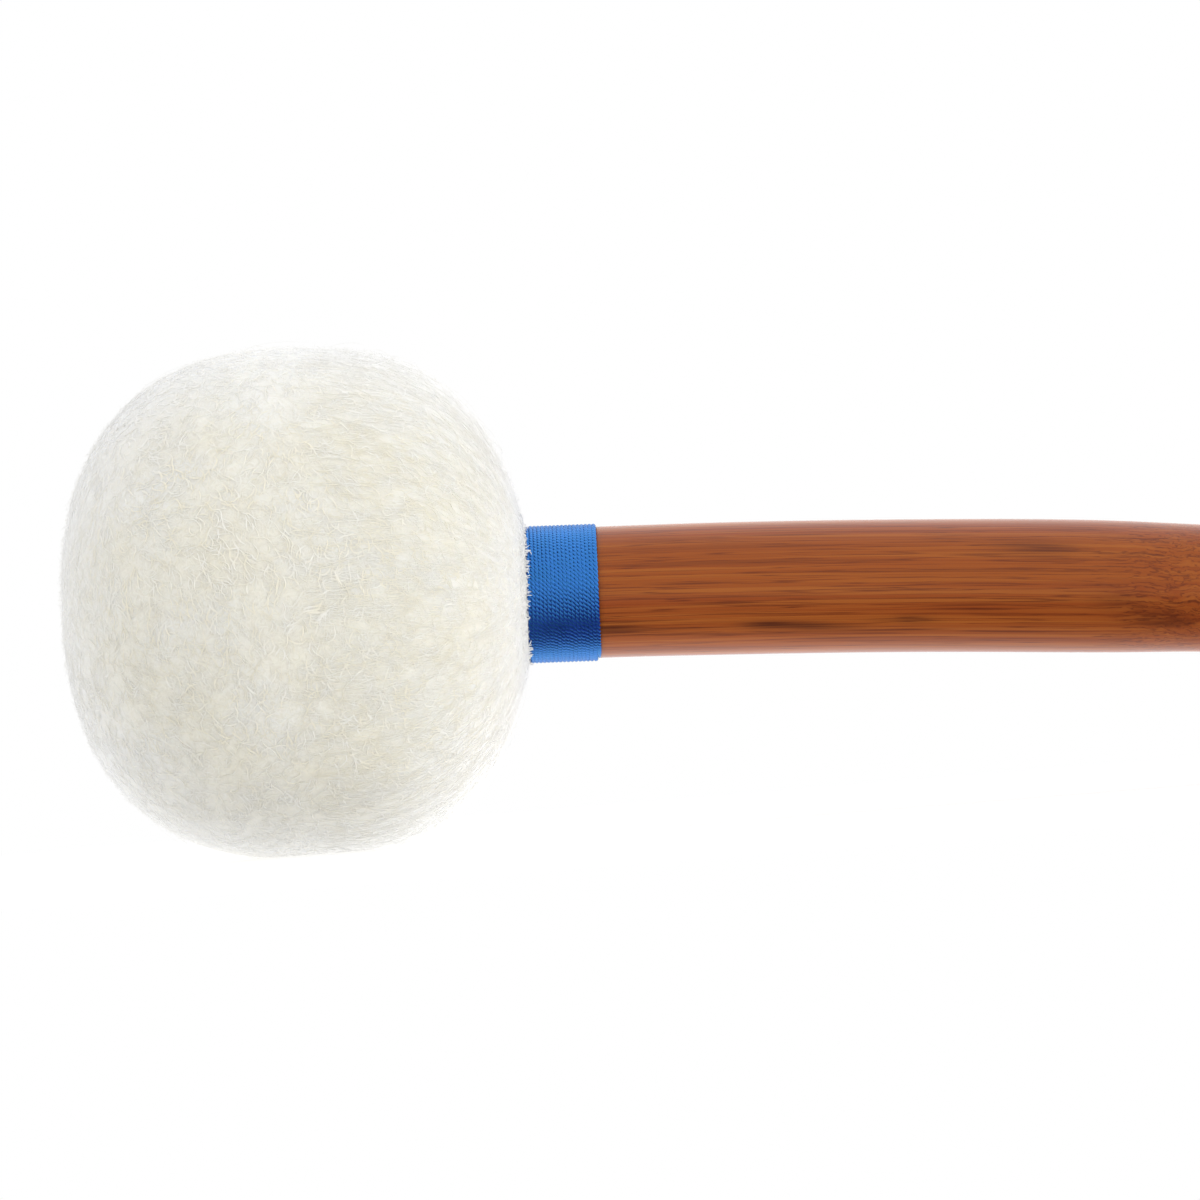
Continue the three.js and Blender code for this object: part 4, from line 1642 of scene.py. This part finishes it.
@dataclass(frozen=True)
class Studio:
    """A pale floor, a white surround and one soft lamp. Lengths are in metres, and light at 1 is plain white.

    The floor's glow changes from front to back and from left to right. Mirrors see other levels of it.
    """

    floor_side: float = 30.0
    floor: float = 0.42
    floor_white: float = 0.66
    shadow_reach: float = 0.42
    glow_front: float = 0.6
    glow_zones: tuple[Zone, ...] = (
        Zone(-0.25, -0.06, 0.38),
        Zone(-0.034, 0.002, 0.86),
        Zone(0.012, 0.05, 0.2),
    )
    side_zones: tuple[Zone, ...] = (Zone(-0.155, -0.1, 0.4), Zone(-0.098, -0.06, 0.08))
    mirror_front: float = 1.3
    mirror_zones: tuple[Zone, ...] = (
        Zone(-0.19, -0.03, 0.05),
        Zone(-0.022, 0.012, 2.3),
        Zone(0.2, 0.4, 1.0),
    )
    surround: float = 0.58
    overhead: float = 0.28
    behind: Zone = Zone(-0.2, 0.5, 0.28)
    right: Zone = Zone(-0.2, 0.8, 0.45)
    left: Zone = Zone(-0.1, -0.9, 0.3)
    mirror_low: float = 1.4
    mirror_high: float = 1.7
    mirror_back: Zone = Zone(-0.25, 0.2, 2.2)
    lamp_side: float = 0.9
    lamp_distance: float = 1.25
    lamp_power: float = 2.9
    lamp_from: tuple[float, float, float] = (0.75, -0.6, 0.35)

    def build(self, target: Vector) -> None:
        """Makes the floor, the surround and the lamp.

        Args:
            target: the point that the lamp is aimed at.
        """
        self._build_floor()
        self._build_world()
        self._build_lamp(target)

    def _build_floor(self) -> None:
        """A plain pale table that keeps the mallet's shadow and is white further off."""
        made = bmesh.new()
        bmesh.ops.create_grid(made, x_segments=1, y_segments=1, size=self.floor_side / 2)
        mesh = bpy.data.meshes.new("floor")
        made.to_mesh(mesh)
        made.free()
        mesh.materials.append(self._floor_material())
        add_object("floor", mesh)

    def _floor_material(self) -> Material:
        """Lit acrylic: white to the camera but for the shadow, with its glow in zones.

        Returns:
            The new material.
        """
        material, tree, shader = new_material("lit_acrylic_table")
        looks = {"Base Color": grey(self.floor), "Roughness": 1.0, "Specular IOR Level": 0.0}
        fill_inputs(tree, shader, looks)
        camera_ray = add_node(tree, "LightPath", output="Is Camera Ray")
        place = add_node(tree, "TexCoord", output="Object")
        side, depth = add_node(tree, "SeparateXYZ", {"Vector": place}).node.outputs[:2]
        even = self._level(tree, depth, self.glow_front, self.glow_zones)
        right = self._level(tree, side, 0.0, self.side_zones)
        glow = add_node(tree, "Math", {0: even, 1: right}, operation="ADD")
        level = add_node(tree, "Mix", {0: camera_ray, 2: glow, 3: self.floor_white})
        lit = add_node(tree, "Emission", {"Strength": level})
        near = add_node(tree, "AddShader", {0: shader.outputs["BSDF"], 1: lit})
        mirror = self._level(tree, depth, self.mirror_front, self.mirror_zones)
        shown = add_node(tree, "Emission", {"Strength": mirror})
        body = add_node(tree, "MixShader", {0: mirror_ray(tree), 1: near, 2: shown})
        far = add_node(tree, "VectorMath", {0: place}, output="Value", operation="LENGTH")
        limits = {"Value": far, "From Min": self.shadow_reach / 2, "From Max": self.shadow_reach}
        off = add_node(tree, "MapRange", limits, interpolation_type="SMOOTHSTEP")
        fade = add_node(tree, "Math", {0: off, 1: camera_ray}, operation="MULTIPLY")
        white = add_node(tree, "Emission", {"Strength": 1.0})
        mixed = add_node(tree, "MixShader", {0: fade, 1: body, 2: white})
        tree.links.new(mixed, tree.nodes["Material Output"].inputs["Surface"])
        return material

    @staticmethod
    def _level(tree: Tree, place: Socket, first: float, zones: Sequence[Zone]) -> Socket:
        """The floor's light level across it in one direction.

        Args:
            tree: the floor's tree.
            place: the coordinate in that direction, in metres.
            first: the level before the first zone.
            zones: the changes of level from there on.

        Returns:
            The level at each place.
        """
        level: Socket | float = first
        for zone in zones:
            limits = {"Value": place, "From Min": zone.start, "From Max": zone.end}
            share = add_node(tree, "MapRange", limits, interpolation_type="SMOOTHSTEP")
            level = add_node(tree, "Mix", {0: share, 2: level, 3: zone.level})
        return level

    def _build_world(self) -> None:
        """White to the camera, brighter above, behind and at both sides, with its own levels in mirrors."""
        world = bpy.data.worlds.new("surround")
        bpy.context.scene.world = world
        world.use_nodes = True
        tree = world.node_tree
        camera_ray = add_node(tree, "LightPath", output="Is Camera Ray")
        way = add_node(tree, "TexCoord", output="Generated")
        side, depth, height = add_node(tree, "SeparateXYZ", {"Vector": way}).node.outputs
        upward = add_node(tree, "Math", {0: height, 1: height}, operation="MULTIPLY")
        above = {0: upward, 1: self.overhead, 2: self.surround}
        room = add_node(tree, "Math", above, operation="MULTIPLY_ADD")
        for place, zone in ((depth, self.behind), (side, self.right), (side, self.left)):
            limits = {"Value": place, "From Min": zone.start, "From Max": zone.end, "To Max": zone.level}
            part = add_node(tree, "MapRange", limits)
            room = add_node(tree, "Math", {0: room, 1: part}, operation="ADD")
        heights = {"Value": height, "To Min": self.mirror_low, "To Max": self.mirror_high}
        front = add_node(tree, "MapRange", heights)
        back = self.mirror_back
        share = add_node(tree, "MapRange", {"Value": depth, "From Min": back.start, "From Max": back.end})
        mirror = add_node(tree, "Mix", {0: share, 2: front, 3: back.level})
        light = add_node(tree, "Mix", {0: mirror_ray(tree), 2: room, 3: mirror})
        strength = add_node(tree, "Mix", {0: camera_ray, 2: light, 3: 1.0})
        fill_inputs(tree, tree.nodes["Background"], {"Strength": strength, "Color": grey(1.0)})

    def _build_lamp(self, target: Vector) -> None:
        """One soft lamp in front, above and to the right.

        Args:
            target: the point that it is aimed at.
        """
        light = bpy.data.lights.new("softbox", "AREA")
        light.shape = "SQUARE"
        light.size = self.lamp_side
        light.energy = self.lamp_power
        lamp = add_object("softbox", light)
        way = Vector(self.lamp_from).normalized()
        lamp.location = target + way * self.lamp_distance
        lamp.rotation_mode = "QUATERNION"
        lamp.rotation_quaternion = way.to_track_quat("Z", "Y")


def mirror_ray(tree: Tree) -> Socket:
    """Tells what is seen in a reflection or through glass.

    Args:
        tree: the node tree of a material or of the world.

    Returns:
        1 for such rays and 0 for the rest.
    """
    rays = add_node(tree, "LightPath").node.outputs
    either = {0: rays["Is Glossy Ray"], 1: rays["Is Transmission Ray"]}
    return add_node(tree, "Math", either, operation="MAXIMUM")


@dataclass(frozen=True)
class PhotoCamera:
    """A long lens that looks level at the side of the mallet, rolled so that it lies as in the photograph."""

    side_px: float = 1200.0
    mm_per_px: float = 0.1575
    tip_px: float = 62.0
    ball_px: tuple[float, float] = (292.0, 603.5)
    axis_rise_deg: float = 2.1
    distance_m: float = 3.0
    sensor_mm: float = 36.0
    clip_m: float = 100.0

    def build(self, axis: MalletAxis) -> None:
        """Makes the camera.

        Args:
            axis: the mallet's axis on the table.
        """
        rise = math.radians(self.axis_rise_deg)
        right = axis.along * math.cos(rise) - axis.above * math.sin(rise)
        up = axis.above * math.cos(rise) + axis.along * math.sin(rise)
        back = right.cross(up)
        scale = self.mm_per_px * MM
        ball = axis.on_axis((self.ball_px[0] - self.tip_px) * self.mm_per_px)
        centre = ball + right * ((self.side_px / 2 - self.ball_px[0]) * scale)
        centre -= up * ((self.side_px / 2 - self.ball_px[1]) * scale)
        data = bpy.data.cameras.new("photo_camera")
        data.sensor_width = self.sensor_mm
        data.lens = self.sensor_mm * self.distance_m / (self.side_px * scale)
        data.clip_end = self.clip_m
        camera = add_object("photo_camera", data)
        camera.matrix_world = Matrix((right, up, back)).transposed().to_4x4()
        camera.location = centre + back * self.distance_m
        bpy.context.scene.camera = camera


def main() -> None:
    """Builds the mallet's pieces in order."""
    logging.basicConfig(level=logging.INFO, format="%(name)s %(message)s")
    bpy.context.scene.view_settings.view_transform = "Standard"
    PhotoCamera().build(AXIS)
    Studio().build(AXIS.on_axis(SIZES.neck_at))
    surface = BallSurface(SIZES, AXIS)
    WoolCover(SIZES, surface).build()
    Fleece(surface).build(WoolFibre().material())
    Whipping(SIZES, AXIS).build()
    Cane(SIZES, AXIS).build()
    dress_hidden_pieces(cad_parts)


if __name__ == "__main__":
    main()
